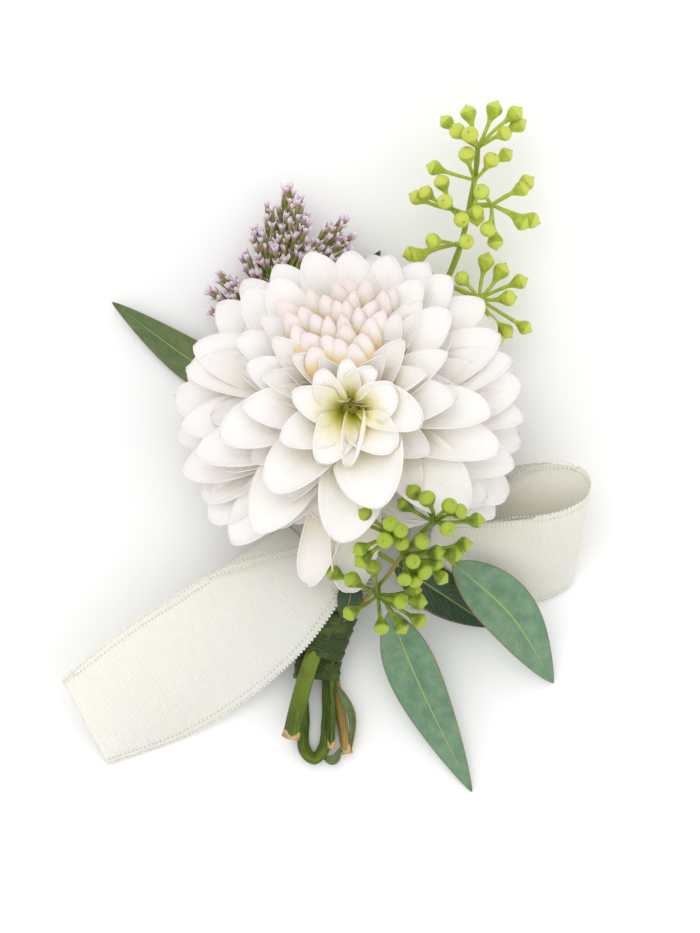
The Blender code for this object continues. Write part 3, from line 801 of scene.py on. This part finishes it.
def tube(build, path, radius_at, sides, cuts=True, ribs=0, rib_depth=0.0):
    """A stem along a path with closed ends, browned near its cut far end."""
    frames = frames_along(path)
    rows, alongs, arounds, cut = [], [], [], []
    last = len(path) - 1
    travelled = 0.0
    total = path_length(path)
    for k, (spot, (_, side, rise)) in enumerate(zip(path, frames)):
        if k:
            travelled += (spot - path[k - 1]).length
        radius = radius_at(k / last)
        row = []
        for c in range(sides):
            angle = 2 * math.pi * c / sides
            swell = radius * (1 + rib_depth * math.cos(ribs * angle))
            row.append(spot + (side * math.cos(angle) + rise * math.sin(angle)) * swell)
            alongs.append(travelled * 0.1)
            arounds.append(abs(math.sin(angle / 2)))
            browned = smooth((travelled - total + 1.3 + 0.5 * math.sin(3 * angle)) / 1.0)
            cut.append(0.2 * browned if cuts else 0.0)
        rows.append(row)
    build.add_grid(rows, closed=True, along=alongs, across=arounds, cut=cut)
    for end, inward in ((0, 1), (last, -1)):
        cap_rings(build, path[end], rows[end], frames[end][0] * inward, cuts, flip=end == 0)


def cap_rings(build, centre, rim, inward, cut, flip):
    """Closes a tube's end with a slightly hollow cut face."""
    rings = [rim]
    values = [0.0] * len(rim)
    for share, depth in ((0.93, 0.0), (0.6, 0.04), (0.25, 0.10), (0.04, 0.14)):
        rings.append([centre + (spot - centre) * share + inward * depth for spot in rim])
        values += [(1 - share * 0.9) if cut else 0.0] * len(rim)
    if flip:
        rings = [list(reversed(ring)) for ring in rings]
    build.add_grid(rings, closed=True, along=[0.5] * len(values), across=[0.3] * len(values), cut=values)


DAHLIA_ROUTE = [(6.0, -0.6, 10.9), (6.2, -2.4, 8.3), (6.0, -11, 7.6), (4.8, -22, 8.2), (1.4, -33, 6.3)]
DAHLIA_ROUTE += [(-1.6, -39, 6.2), (-3.0, -42.6, 7.2), (-4.4, -47, 7.2), (-6.0, -53, 6.2), (-7.3, -58.4, 5.2)]
LONG_ROUTE = [(30.4, 60.3, 11.8), (29.7, 53.9, 11.4), (27.0, 41, 9.4), (22.6, 30, 5.6), (18.0, 18, 2.6)]
LONG_ROUTE += [(12.0, 0, 1.9), (7.4, -16, 1.9), (3.0, -30, 2.2), (0.4, -41, 2.2), (0.3, -48, 1.8)]
LONG_ROUTE += [(0.2, -55, 1.3), (-0.5, -60.6, 1.3), (-2.6, -62.9, 1.3), (-4.7, -60.6, 1.3)]
LONG_ROUTE += [(-4.8, -54, 1.5), (-5.0, -47, 2.0), (-3.9, -41, 2.2), (-2.6, -37.6, 2.2)]
SHORT_ROUTE = [(18.8, -16.6, 30.6), (15.2, -20.8, 28.4), (12.0, -25.4, 23.6), (9.0, -28.8, 16.0)]
SHORT_ROUTE += [(6.2, -32.4, 7.8), (3.4, -37.6, 3.4), (1.8, -43.6, 2.2), (2.2, -50, 1.6), (4.2, -61.9, 1.2)]
LAVENDER_ROUTE = [(-9.6, 31.0, 4.6), (-6.8, 20, 3.4), (-1.5, 2, 3.0), (2.4, -14, 3.4), (4.6, -22, 4.7)]
LAVENDER_ROUTE += [(6.2, -29, 5.0), (4.6, -34, 5.2), (1.4, -41, 4.9), (0.8, -47, 4.2), (1.0, -53, 4.0)]
LAVENDER_ROUTE += [(0.9, -60.7, 3.8)]


def long_radius(t):
    return 0.52 + 0.70 * smooth((t - 0.05) / 0.45) + 0.08 * math.sin(60 * t) ** 6


def short_radius(t):
    foot = 0.30 * smooth((t - 0.75) / 0.25)
    return 0.40 + 0.40 * smooth((t - 0.3) / 0.4) + foot + 0.05 * math.sin(22 * t) ** 8


def dahlia_radius(t):
    return 1.62 + 0.12 * math.sin(9 * t) ** 2 + 0.22 * smooth((t - 0.96) / 0.04)


def lavender_radius(t):
    return 0.45 + 0.35 * smooth(t / 0.5)


def make_stems():
    for name, route, samples, radius_at, sides, look, slot in (
        ("dahlia_stem", DAHLIA_ROUTE, 90, dahlia_radius, 28, STEM_GREEN, "stem"),
        ("eucalyptus_stem_long", LONG_ROUTE, 220, long_radius, 22, STEM_LIGHT, "stem"),
        ("eucalyptus_stem_short", SHORT_ROUTE, 100, short_radius, 20, STEM_WOODY, "woody_stem"),
        ("sea_lavender_stem", LAVENDER_ROUTE, 110, lavender_radius, 16, STEM_GREEN, "stem"),
    ):
        build = Build()
        tube(build, catmull(route, samples), radius_at, sides, ribs=5, rib_depth=0.035)
        add_piece("visual_" + name, build, look, replaces=(name,))


def add_band(name, centre, half_width, half_height, length, slant, wraps):
    """A wound band round the stems: turns of tape that overlap and crease."""
    build = Build()
    rng = random.Random(name)
    sides, rows = 72, 26
    turn = Matrix.Rotation(math.radians(slant), 3, "Z")
    grid, alongs, arounds = [], [], []
    lumps = [rng.uniform(-0.05, 0.05) for _ in range(9)]
    for side_of_wall, scale in ((1, 1.0), (-1, 0.90)):
        for r in range(rows + 1):
            t = r / rows if side_of_wall > 0 else 1 - r / rows
            row = []
            for k in range(sides):
                angle = 2 * math.pi * k / sides
                x = math.copysign(abs(math.cos(angle)) ** 0.62, math.cos(angle)) * half_width
                z = math.copysign(abs(math.sin(angle)) ** 0.62, math.sin(angle)) * half_height
                step = (wraps * t + k / sides) % 1.0
                swell = 0.92 + 0.06 * step + 0.02 * math.sin(3 * angle + lumps[k % 9])
                swell = swell + 0.4 * lumps[(k * 5 + r) % 9] / 9
                y = (t - 0.5) * length + 0.25 * math.sin(angle + 1)
                spot = Vector((x * swell * scale, y, z * swell * scale))
                row.append(Vector(centre) + turn @ spot)
                alongs.append(t * wraps + k / sides)
                arounds.append(abs(math.sin(angle / 2)))
            grid.append(row)
    grid.append(grid[0])
    alongs += alongs[:sides]
    arounds += arounds[:sides]
    build.add_grid(grid, closed=True, along=alongs, across=arounds)
    add_piece(name, build, TAPE, replaces=("floral_" + name,))


def make_tape():
    add_band("tape_upper", (-0.2, -37.4, 4.5), 5.2, 4.3, 9.6, -20, 4)
    add_band("tape_lower", (-1.8, -43.9, 2.9), 4.9, 2.7, 5.8, -6, 3)


# ---- leaves


LEAVES = {
    "leaf_upper_left": ([(-14, 10.8, 2.8), (-27, 17.6, 1.0), (-43.5, 29.7, 2.6)], 8.4, -3, "green"),
    "leaf_lower_right": ([(25.3, -22.9, 14.6), (37, -33.5, 10.8), (46.0, -47.6, 0.6)], 11.4, -16, "grey"),
    "leaf_lower_middle": ([(12.7, -32.7, 9.4), (18.6, -47.5, 5.6), (29.4, -69.7, 0.5)], 10.4, 12, "grey"),
    "leaf_behind_right": ([(13.6, -23.0, 12.0), (23.5, -29.5, 7.0), (33.5, -36.2, 1.0)], 9.0, -6, "dark"),
    "leaf_small": ([(5.2, -26.2, 11.8), (4.6, -30.5, 12.0), (3.2, -34.8, 11.6)], 5.0, 10, "dark"),
    "leaf_left_under": ([(-6.5, 1.0, 8.4), (-16.0, -3.0, 8.6), (-25.6, -5.6, 9.2)], 9.0, 8, "dark"),
    "leaf_right_under": ([(16.0, 0.0, 9.2), (27.0, 1.0, 9.6), (37.8, 2.6, 10.4)], 7.4, 0, "dark"),
    "leaf_upper_right": ([(5.0, 25.0, 3.4), (5.8, 31.6, 2.4), (10.8, 40.2, 2.2)], 5.6, 0, "dark"),
    "leaf_at_foot": ([(1.9, -47.6, 3.6), (5.0, -54.0, 2.6), (4.9, -61.4, 1.9)], 1.7, 8, "green"),
    "leaf_stub": ([(-0.6, -62.9, 1.0), (1.5, -63.1, 1.4), (3.0, -60.6, 1.6)], 1.9, 0, "green"),
}
LEAF_LOOKS = {"grey": LEAF_GREY, "green": LEAF_GREEN, "dark": LEAF_DARK}


def leaf_half_width(along):
    """Half the width over the greatest width of a lance-shaped blade."""
    return 0.5 * math.sin(math.pi * along**0.8) ** 0.85 + 0.012


def add_leaf(name, midrib, width, roll, tone):
    rows, columns = 44, 16
    spine = catmull(midrib, rows)
    build = Build()
    rng = random.Random(name)
    phase = rng.uniform(0, 6)
    grid, alongs, acrosses = [], [], []
    for r in range(rows + 1):
        ahead = (spine[min(r + 1, rows)] - spine[max(r - 1, 0)]).normalized()
        side = Matrix.Rotation(math.radians(roll), 3, ahead) @ ahead.cross(Vector((0, 0, 1))).normalized()
        rise = side.cross(ahead)
        t = r / rows
        half = width * leaf_half_width(t)
        row = []
        for c in range(columns + 1):
            v = 2 * c / columns - 1
            groove = -0.16 * math.exp(-((v * half / 0.35) ** 2))
            vein = 0.035 * math.sin(92 * (t - 0.30 * abs(v) * half / width))
            vein = vein * math.sin(math.pi * min(abs(v), 1))
            lift = 0.16 * half * abs(v) ** 1.3 + groove + vein + 0.10 * math.sin(9 * t + phase) * v
            row.append(spine[r] + side * half * v + rise * lift)
            alongs.append(t)
            acrosses.append(v)
        grid.append(row)
    build.add_grid(grid, along=alongs, across=acrosses)
    in_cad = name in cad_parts
    replaced = (name,) if in_cad else ()
    add_piece("blade_" + name[5:], build, LEAF_LOOKS[tone], LEAF_THICKNESS, replaces=replaced)
    if in_cad:
        stalk = Build()
        back = spine[0] - (spine[1] - spine[0]).normalized() * 4 + Vector((0, 0, -0.4))
        tube(stalk, catmull([back, spine[0], spine[2]], 10), petiole_radius, 10, cuts=False)
        add_piece("petiole_" + name[5:], stalk, STEM_LIGHT)


def petiole_radius(t):
    return 0.5 - 0.2 * t


# ---- eucalyptus buds


UPPER_UMBELS = {
    "upper_umbel_1": ((30.3, 60.3, 12.6), [
        (139, 7.9), (105, 7.0), (67, 8.2), (42, 9.9), (30, 9.2), (143, 5.0), (129, 2.6), (25, 5.7),
    ]),
    "upper_umbel_2": ((29.7, 53.9, 12.2), [
        (109, 4.9), (50, 4.7), (38, 7.8), (163, 8.2), (-87, 7.4),
    ]),
    "upper_umbel_3": ((25.3, 47.9, 12.0), [
        (113, 5.6), (148, 6.1), (160, 7.4), (146, 2.0), (-54, 2.7), (-7, 4.6),
    ]),
    "upper_umbel_4": ((33.1, 48.9, 12.2), [
        (33, 8.1), (27, 6.6), (-21, 8.4), (-30, 6.9), (-84, 7.2), (-101, 5.1), (135, 3.0),
    ]),
    "upper_umbel_5": ((26.0, 41.0, 11.2), [
        (175, 4.6), (10, 1.8), (-163, 7.8), (-168, 9.0),
    ]),
    "upper_umbel_6": ((30.7, 30.1, 9.0), [
        (79, 7.5), (53, 7.0), (23, 8.7), (133, 5.2), (2, 5.6), (-32, 10.6), (-49, 8.2), (-66, 8.3),
    ]),
}
LOWER_UMBELS = {
    "lower_umbel_1": ((21.3, -14.5, 31.5), [
        (126, 6.9), (110, 4.7), (149, 6.6), (23, 5.1), (3, 8.0), (47, 4.1), (-29, 2.6),
    ]),
    "lower_umbel_2": ((12.9, -17.3, 31.0), [
        (141, 6.4), (157, 7.2), (37, 2.0), (95, 2.4), (-157, 1.5), (-157, 6.5), (-141, 7.2),
    ]),
    "lower_umbel_3": ((15.1, -20.9, 27.6), [
        (95, 2.2), (35, 4.2), (-32, 2.2), (4, 6.4), (-16, 6.5), (9, 12.0), (0, 10.0), (-88, 4.6),
        (-64, 5.5), (-32, 8.7), (-40, 5.2),
    ]),
    "lower_umbel_4": ((10.3, -29.1, 20.6), [
        (154, 9.6), (100, 5.5), (149, 5.8), (7, 7.0), (-9, 7.9), (-13, 4.3), (-32, 9.4), (-84, 6.2),
        (-55, 7.6), (-148, 6.4),
    ]),
}
BUD_HEAD = 4.7  # length of the swollen part
BUD_MIDDLE = 0.56  # where it is widest, as a share of that length
BUD_RADIUS = 1.62
BUD_PROFILE = [(0, 0.26), (0.12, 0.36), (0.25, 0.58), (0.38, 0.83), (0.5, 0.97), (0.58, 1.0), (0.68, 0.96)]
BUD_PROFILE += [(0.77, 0.80), (0.845, 0.56), (0.90, 0.33), (0.94, 0.19), (0.97, 0.12), (1.0, 0.03)]


def bend_between(hub, end, sag, samples):
    """A slightly bowed path from a hub to a bud's nib."""
    return catmull([hub, hub.lerp(end, 0.35) + sag, hub.lerp(end, 0.7) + sag * 0.5, end], samples)


def add_bud(build, hub, end, size, sag):
    """A club-shaped bud on its bowed pedicel, with a faint ring and a small nib."""
    reach = (end - hub).length
    head = min(BUD_HEAD * size, reach * 0.8)
    path = bend_between(hub, end, sag, 26)
    frames = frames_along(path)
    sides = 16
    neck = 1 - head / reach
    rows, alongs = [], []
    for k in range(len(path)):
        share = (k / 26) ** 0.8
        spot, (_, side, rise) = path_spot(path, frames, share)
        if share < neck:
            radius, mark = 0.34 + 0.08 * (share / neck) ** 2, 0.5 * share / neck
        else:
            inside = (share - neck) / (1 - neck)
            radius, mark = BUD_RADIUS * size * table_at(BUD_PROFILE, inside), 0.5 + 0.5 * inside
        rows.append([spot + (side * math.cos(a) + rise * math.sin(a)) * radius for a in ring_angles(sides)])
        alongs += [mark] * sides
    build.add_grid(rows, closed=True, along=alongs)


def path_spot(path, frames, share):
    place = min(max(share, 0.0), 1.0) * (len(path) - 1)
    k = min(int(place), len(path) - 2)
    return path[k].lerp(path[k + 1], place - k), frames[k]


def ring_angles(sides):
    return [2 * math.pi * k / sides for k in range(sides)]


def umbel_stalk_radius(t):
    return 0.46 + 0.14 * t


def make_umbels():
    rng = random.Random(SEED + 2)
    for group, route, look in ((UPPER_UMBELS, LONG_ROUTE, BUD_BRIGHT), (LOWER_UMBELS, SHORT_ROUTE, BUD_DEEP)):
        path = catmull(route, 120)
        for name, (hub, buds) in group.items():
            centre = Vector(hub)
            build = Build()
            nearest = min(path, key=lambda spot: (spot - centre).length)
            for heading, distance in buds:
                turn = math.radians(heading)
                out = Vector((math.cos(turn), math.sin(turn), 0))
                slope = max(distance, 6.6 + rng.uniform(-0.6, 0.6))
                rise = math.sqrt(max(slope * slope - distance * distance, 0.0)) + rng.uniform(-0.8, 0.8)
                heart = centre + out * distance + Vector((0, 0, rise))
                ahead = (heart - centre).normalized()
                size = rng.uniform(0.92, 1.08)
                end = heart + ahead * BUD_HEAD * size * (1 - BUD_MIDDLE)
                sag = Vector((-out.y, out.x, 0)) * rng.uniform(-0.4, 0.4) - Vector((0, 0, 0.3))
                add_bud(build, centre, end, size, sag)
            add_piece("buds_" + name, build, look, replaces=(name,))
            stalk = Build()
            halfway = (nearest + centre) / 2
            tube(stalk, catmull([nearest, halfway, centre], 8), umbel_stalk_radius, 12, cuts=False)
            add_piece("stalk_" + name, stalk, look)


# ---- sea lavender


SPRAYS = {
    "sea_lavender_middle": [
        ((-9.5, 30.5, 5.6), (-7.9, 51.8, 8.4), 30, 3.0),
        ((-10.2, 32.0, 5.4), (-11.4, 47.8, 7.8), 18, 2.2),
        ((-10.8, 31.0, 5.2), (-14.2, 43.2, 6.8), 16, 2.0),
        ((-11.4, 30.0, 5.0), (-16.0, 38.0, 6.2), 14, 2.0),
        ((-8.6, 32.0, 6.0), (-4.2, 45.8, 8.4), 16, 2.0),
        ((-8.2, 32.0, 6.0), (-5.4, 49.2, 8.8), 16, 1.8),
        ((-11.8, 28.0, 4.6), (-13.8, 34.6, 5.6), 12, 1.8),
    ],
    "sea_lavender_left": [
        ((-14.0, 26.6, 5.2), (-20.8, 34.4, 6.4), 12, 1.6),
        ((-14.0, 26.2, 5.2), (-18.0, 33.0, 6.8), 11, 1.6),
        ((-14.4, 25.6, 5.0), (-22.6, 31.4, 5.8), 11, 1.4),
        ((-15.0, 24.6, 4.8), (-22.2, 27.2, 5.2), 9, 1.1),
    ],
    "sea_lavender_right": [
        ((-4.6, 35.4, 7.2), (3.0, 45.4, 9.6), 14, 1.5),
        ((-4.2, 35.0, 7.2), (4.2, 42.2, 9.2), 12, 1.4),
        ((-4.4, 35.4, 7.2), (0.0, 43.8, 9.2), 13, 1.6),
        ((-3.4, 34.8, 7.0), (3.4, 39.4, 8.6), 9, 1.3),
    ],
}


def add_floret(petals, calyces, foot, ahead, rng):
    """One floret: a long ribbed calyx and five short papery petals that stand up from it."""
    ahead = ahead.normalized()
    side = ahead.orthogonal().normalized()
    rise = ahead.cross(side)
    length = rng.uniform(2.3, 3.2)
    rows, alongs = [], []
    for share, radius in ((0.0, 0.20), (0.3, 0.40), (0.65, 0.50), (1.0, 0.46)):
        centre = foot + ahead * length * share
        rows.append([centre + (side * math.cos(a) + rise * math.sin(a)) * radius for a in ring_angles(7)])
        alongs += [share] * 7
    calyces.add_grid(rows, closed=True, along=alongs)
    mouth = foot + ahead * length * 0.92
    first = rng.uniform(0, 6.28)
    spread = rng.uniform(0.10, 0.62)
    for k in range(5):
        angle = first + 2 * math.pi * k / 5
        out = side * math.cos(angle) + rise * math.sin(angle)
        tangent = ahead.cross(out)
        size = rng.uniform(1.0, 1.5)
        grid, alongs = [], []
        for t, half in ((0.0, 0.24), (0.4, 0.45), (0.8, 0.45), (1.05, 0.22)):
            spot = mouth + out * (0.24 + spread * t * size) + ahead * 1.05 * size * t
            grid.append([spot - tangent * half, spot + out * 0.08, spot + tangent * half])
            alongs += [t] * 3
        petals.add_grid(grid, along=alongs)


def spike_radius(t):
    return 0.50 - 0.26 * t


def make_sea_lavender():
    for name, spikes in SPRAYS.items():
        rng = random.Random(name)
        stems, petals, calyces = Build(), Build(), Build()
        for root, tip, florets, reach in spikes:
            root, tip = Vector(root), Vector(tip)
            axis = (tip - root).normalized()
            side = axis.cross(Vector((0, 0, 1))).normalized()
            rise = side.cross(axis)
            path = catmull([root, root.lerp(tip, 0.5) + rise * 0.4, tip], 12)
            tube(stems, path, spike_radius, 8, cuts=False)
            for k in range(florets):
                share = 0.22 + 0.74 * k / (florets - 1)
                turn = k * GOLDEN_ANGLE + rng.uniform(-0.3, 0.3)
                out = side * math.cos(turn) + rise * 0.8 * math.sin(turn)
                stand = reach * (1.0 - 0.75 * share) * rng.uniform(0.3, 1.0)
                lean = axis + out * rng.uniform(0.1, 0.75) * (1.1 - share)
                place = root.lerp(tip, share) + out * stand - axis * 1.2
                add_floret(petals, calyces, place, lean, rng)
        add_piece("stalks_" + name, stems, SPRAY_GREEN, replaces=(name,))
        add_piece("calyces_" + name, calyces, SPRAY_GREEN)
        add_piece("florets_" + name, petals, LILAC, FLORET_THICKNESS)


# ---- ribbon


TAIL_LOWER = [(4.6, -27.6, 11.0), (-4.2, -39.8, 9.6), (-15.7, -50.3, 3.6), (-29, -58.6, 0.5)]
TAIL_LOWER += [(-44.6, -64.1, 0.5)]
TAIL_UPPER = [(-7.8, -14.9, 9.4), (-17.2, -21.4, 10.4), (-28.6, -28.6, 11.6), (-40, -36.0, 13.4)]
TAIL_UPPER += [(-52.9, -46.3, 14.8)]
FOLD_RADIUS = 0.4
STITCH_STEP = 0.85
TAIL_SAMPLES = 110
LOOP_SAMPLES = 150
LOOP_TOP = [(22.0, -12.6, 11.0), (33.0, -14.4, 14.2), (44.5, -13.2, 17.6)]
LOOP_TOP += [(51.0, -10.6, 18.2), (52.8, -7.2, 17.0)]
LOOP_TOP += [(51.6, -4.4, 16.0), (49.0, -3.4, 15.2), (42.0, -2.8, 13.0), (30.0, -4.8, 7.4), (18, -7.0, 4.4)]
LOOP_LOW = [(17.0, -32.4, 3.0), (28.4, -33.8, 0.9), (41.0, -31.6, 0.6), (47.8, -29.0, 0.5), (50.0, -26.4, 0.4)]
LOOP_LOW += [(49.2, -24.2, 0.4), (46.6, -23.2, 0.4), (39.6, -22.6, 0.3), (27.6, -22.4, 0.3), (16.0, -24.2, 0.4)]


def strip(first, second):
    """A ribbon between two edges; where they are closer than its width, the rest turns over at the second."""
    build = Build()
    columns = 40
    rows, alongs, acrosses = [], [], []
    travelled = 0.0
    for k, (a, b) in enumerate(zip(first, second)):
        if k:
            travelled += ((a + b) / 2 - (first[k - 1] + second[k - 1]) / 2).length
        across = b - a
        ahead = (first[min(k + 1, len(first) - 1)] - first[max(k - 1, 0)]).normalized()
        level = across.normalized()
        up = ahead.cross(level).normalized()
        if up.z < 0:
            up = -up
        row = []
        for c in range(columns + 1):
            distance = RIBBON_WIDTH * c / columns
            row.append(strip_spot(a, level, up, distance, across.length, travelled))
            alongs.append(travelled)
            acrosses.append(distance)
        rows.append(row)
    build.add_grid(rows, along=alongs, across=acrosses)
    return build, rows, travelled


def strip_spot(corner, level, up, distance, chord, travelled):
    """A point across the ribbon: gently waved, then turned over past the fold."""
    turned = RIBBON_WIDTH - chord > FOLD_RADIUS
    flat = chord - FOLD_RADIUS if turned else RIBBON_WIDTH
    stretch = 1.0 if turned else chord / RIBBON_WIDTH
    share = min(distance / flat, 1.0)
    arch = math.sin(math.pi * share)
    wave = 0.55 * arch + 0.25 * math.sin(0.17 * travelled + 2.4 * share) * arch
    if distance <= flat:
        return corner + level * distance * stretch + up * wave
    over = distance - flat
    angle = min(over / FOLD_RADIUS, math.radians(172))
    spot = corner + level * (flat + FOLD_RADIUS * math.sin(angle)) + up * FOLD_RADIUS * (1 - math.cos(angle))
    rest = max(over - angle * FOLD_RADIUS, 0.0)
    return spot + (level * math.cos(angle) + up * math.sin(angle)) * rest


def add_selvedge(name, rows, column):
    """Small looped stitches along one edge of a ribbon."""
    build = Build()
    edge = [row[column] for row in rows]
    inner = [row[column + (1 if column == 0 else -1)] for row in rows]
    total = path_length(edge)
    count = int(total / STITCH_STEP)
    k, walked = 0, 0.0
    for n in range(count):
        target = (n + 0.5) * STITCH_STEP
        while walked + (edge[k + 1] - edge[k]).length < target:
            walked += (edge[k + 1] - edge[k]).length
            k += 1
        share = (target - walked) / (edge[k + 1] - edge[k]).length
        spot = edge[k].lerp(edge[k + 1], share)
        ahead = (edge[k + 1] - edge[k]).normalized()
        out = (spot - inner[k].lerp(inner[k + 1], share)).normalized()
        up = ahead.cross(out)
        add_bead(build, spot + out * 0.05, ahead, out, up, (0.34, 0.34, 0.30))
        add_bead(build, spot - out * 1.25, ahead, out, up, (0.24, 0.16, 0.20))
    return add_piece(name, build, THREAD)


def add_bead(build, centre, ahead, out, up, size):
    rows = []
    for polar in (-1.35, -0.7, 0.0, 0.7, 1.35):
        ring = []
        for angle in ring_angles(6):
            ring.append(
                centre
                + ahead * size[0] * math.sin(polar)
                + out * size[1] * math.cos(polar) * math.cos(angle)
                + up * size[2] * math.cos(polar) * math.sin(angle)
            )
        rows.append(ring)
    build.add_grid(rows, closed=True)


WRAP_CENTRE = Vector((3.8, -27.6, 5.2))
WRAP_WIDTH = 4.6  # half the oval that the wrap goes round
WRAP_HEIGHT = 4.0
WRAP_LENGTH_HEIGHT = 4.2  # half the height of the oval that the strip's length is measured round
WRAP_SLANT = -10
PLEATS = 6
PLEAT_DEPTH = 1.0
GATHERED_WIDTH = 5.6  # what the ribbon's width takes up once gathered


def make_wrap():
    """One turn of the ribbon round the stems, gathered into narrow pleats."""
    build = Build()
    columns, sides = 60, 72
    slant = Matrix.Rotation(math.radians(WRAP_SLANT), 3, "Z")
    rows, alongs, acrosses = [], [], []
    oval = [Vector((WRAP_WIDTH * math.cos(a), 0, WRAP_LENGTH_HEIGHT * math.sin(a))) for a in ring_angles(sides)]
    around = path_length(oval)
    for k, angle in enumerate(ring_angles(sides)):
        row = []
        for c in range(columns + 1):
            share = c / columns
            fold = PLEAT_DEPTH * (2 * abs(2 * ((share * PLEATS) % 1.0) - 1) - 1)
            reach = 1.0 + 0.04 * math.sin(3 * angle + 5 * share)
            x = math.cos(angle) * (WRAP_WIDTH * reach + fold)
            y = (share - 0.5) * GATHERED_WIDTH + 0.3 * math.sin(2 * angle + 4 * share)
            z = math.sin(angle) * (WRAP_HEIGHT * reach + fold * 0.75)
            row.append(WRAP_CENTRE + slant @ Vector((x, y, z)))
            alongs.append(around * k / sides)
            acrosses.append(RIBBON_WIDTH * share)
        rows.append(row)
    rows.append(rows[0])
    alongs += [around] * (columns + 1)
    acrosses += acrosses[: columns + 1]
    build.add_grid(rows, along=alongs, across=acrosses)
    wrap = add_piece("satin_wrap", build, SATIN, SATIN_THICKNESS, replaces=("ribbon_wrap",))


def make_ribbon():
    first, second = catmull(TAIL_LOWER, TAIL_SAMPLES), catmull(TAIL_UPPER, TAIL_SAMPLES)
    build, rows, length = strip(first, second)
    tail = add_piece("satin_tail", build, SATIN, SATIN_THICKNESS, replaces=("ribbon_tail",))
    edges = [add_selvedge("stitches_tail_low", rows, 0), add_selvedge("stitches_tail_high", rows, -1)]
    first, second = catmull(LOOP_TOP, LOOP_SAMPLES), catmull(LOOP_LOW, LOOP_SAMPLES)
    build, rows, length = strip(second, first)
    replaced = ("ribbon_loop_over", "ribbon_loop_under")
    loop = add_piece("satin_loop", build, SATIN, SATIN_THICKNESS, replaces=replaced)
    edges = [add_selvedge("stitches_loop_low", rows, 0), add_selvedge("stitches_loop_top", rows, -1)]
    make_wrap()


# ---- stage


FLOOR_HALF = 1.2  # metres, as is the floor's height
FLOOR_HEIGHT = -0.0002


def make_stage():
    """The white table."""
    mesh = bpy.data.meshes.new("floor")
    half = FLOOR_HALF
    corners = [(-half, -half), (half, -half), (half, half), (-half, half)]
    mesh.from_pydata([(x, y, FLOOR_HEIGHT) for x, y in corners], [], [(0, 1, 2, 3)])
    look = Look("floor", 0.7)
    look.colour(look.mix(look.noise(3), (0.95, 0.95, 0.95), (0.97, 0.97, 0.97)))
    mesh.materials.append(look.material)
    floor = bpy.data.objects.new("floor", mesh)
    bpy.context.scene.collection.objects.link(floor)


def add_light(name, place, size, power):
    lamp = bpy.data.lights.new(name, "AREA")
    lamp.shape = "DISK"
    lamp.size = size
    lamp.energy = power
    light = bpy.data.objects.new(name, lamp)
    light.location = place
    light.rotation_euler = (-Vector(place)).to_track_quat("-Z", "Y").to_euler()
    bpy.context.scene.collection.objects.link(light)


def make_light():
    world = bpy.data.worlds.new("studio")
    world.use_nodes = True
    shade = world.node_tree.nodes["Background"]
    shade.inputs["Color"].default_value = (1, 1, 1, 1)
    shade.inputs["Strength"].default_value = 1.0
    bpy.context.scene.world = world
    add_light("key", (-0.16, 0.30, 0.72), 0.50, 0.9)
    add_light("fill", (0.45, -0.35, 0.60), 0.6, 0.45)


VIEW_CENTRE = Vector((4.7, -3.6, 0))  # where the photograph's middle looks, in millimetres
VIEW_HEIGHT = 186.6  # the height of the view at the object, in millimetres
CAMERA_HEIGHT = 900
SHARP_HEIGHT = 15  # the height at which VIEW_HEIGHT holds
SENSOR_HEIGHT = 24


def make_camera():
    camera = bpy.data.cameras.new("camera")
    camera.sensor_fit = "VERTICAL"
    camera.sensor_height = SENSOR_HEIGHT
    camera.lens = SENSOR_HEIGHT * (CAMERA_HEIGHT - SHARP_HEIGHT) / VIEW_HEIGHT
    camera.clip_start = 0.05
    camera.clip_end = 10
    view = bpy.data.objects.new("camera", camera)
    view.location = (VIEW_CENTRE + Vector((0, 0, CAMERA_HEIGHT))) * MM
    bpy.context.scene.collection.objects.link(view)
    bpy.context.scene.camera = view


make_stage()
make_light()
make_camera()
bpy.context.scene.view_settings.view_transform = "Standard"
petal_pieces = make_petals()
stand_for_petals()
make_core()
make_calyx()
make_stems()
make_tape()
for leaf, (midrib, width, roll, tone) in LEAVES.items():
    add_leaf(leaf, midrib, width, roll, tone)
make_umbels()
make_sea_lavender()
make_ribbon()
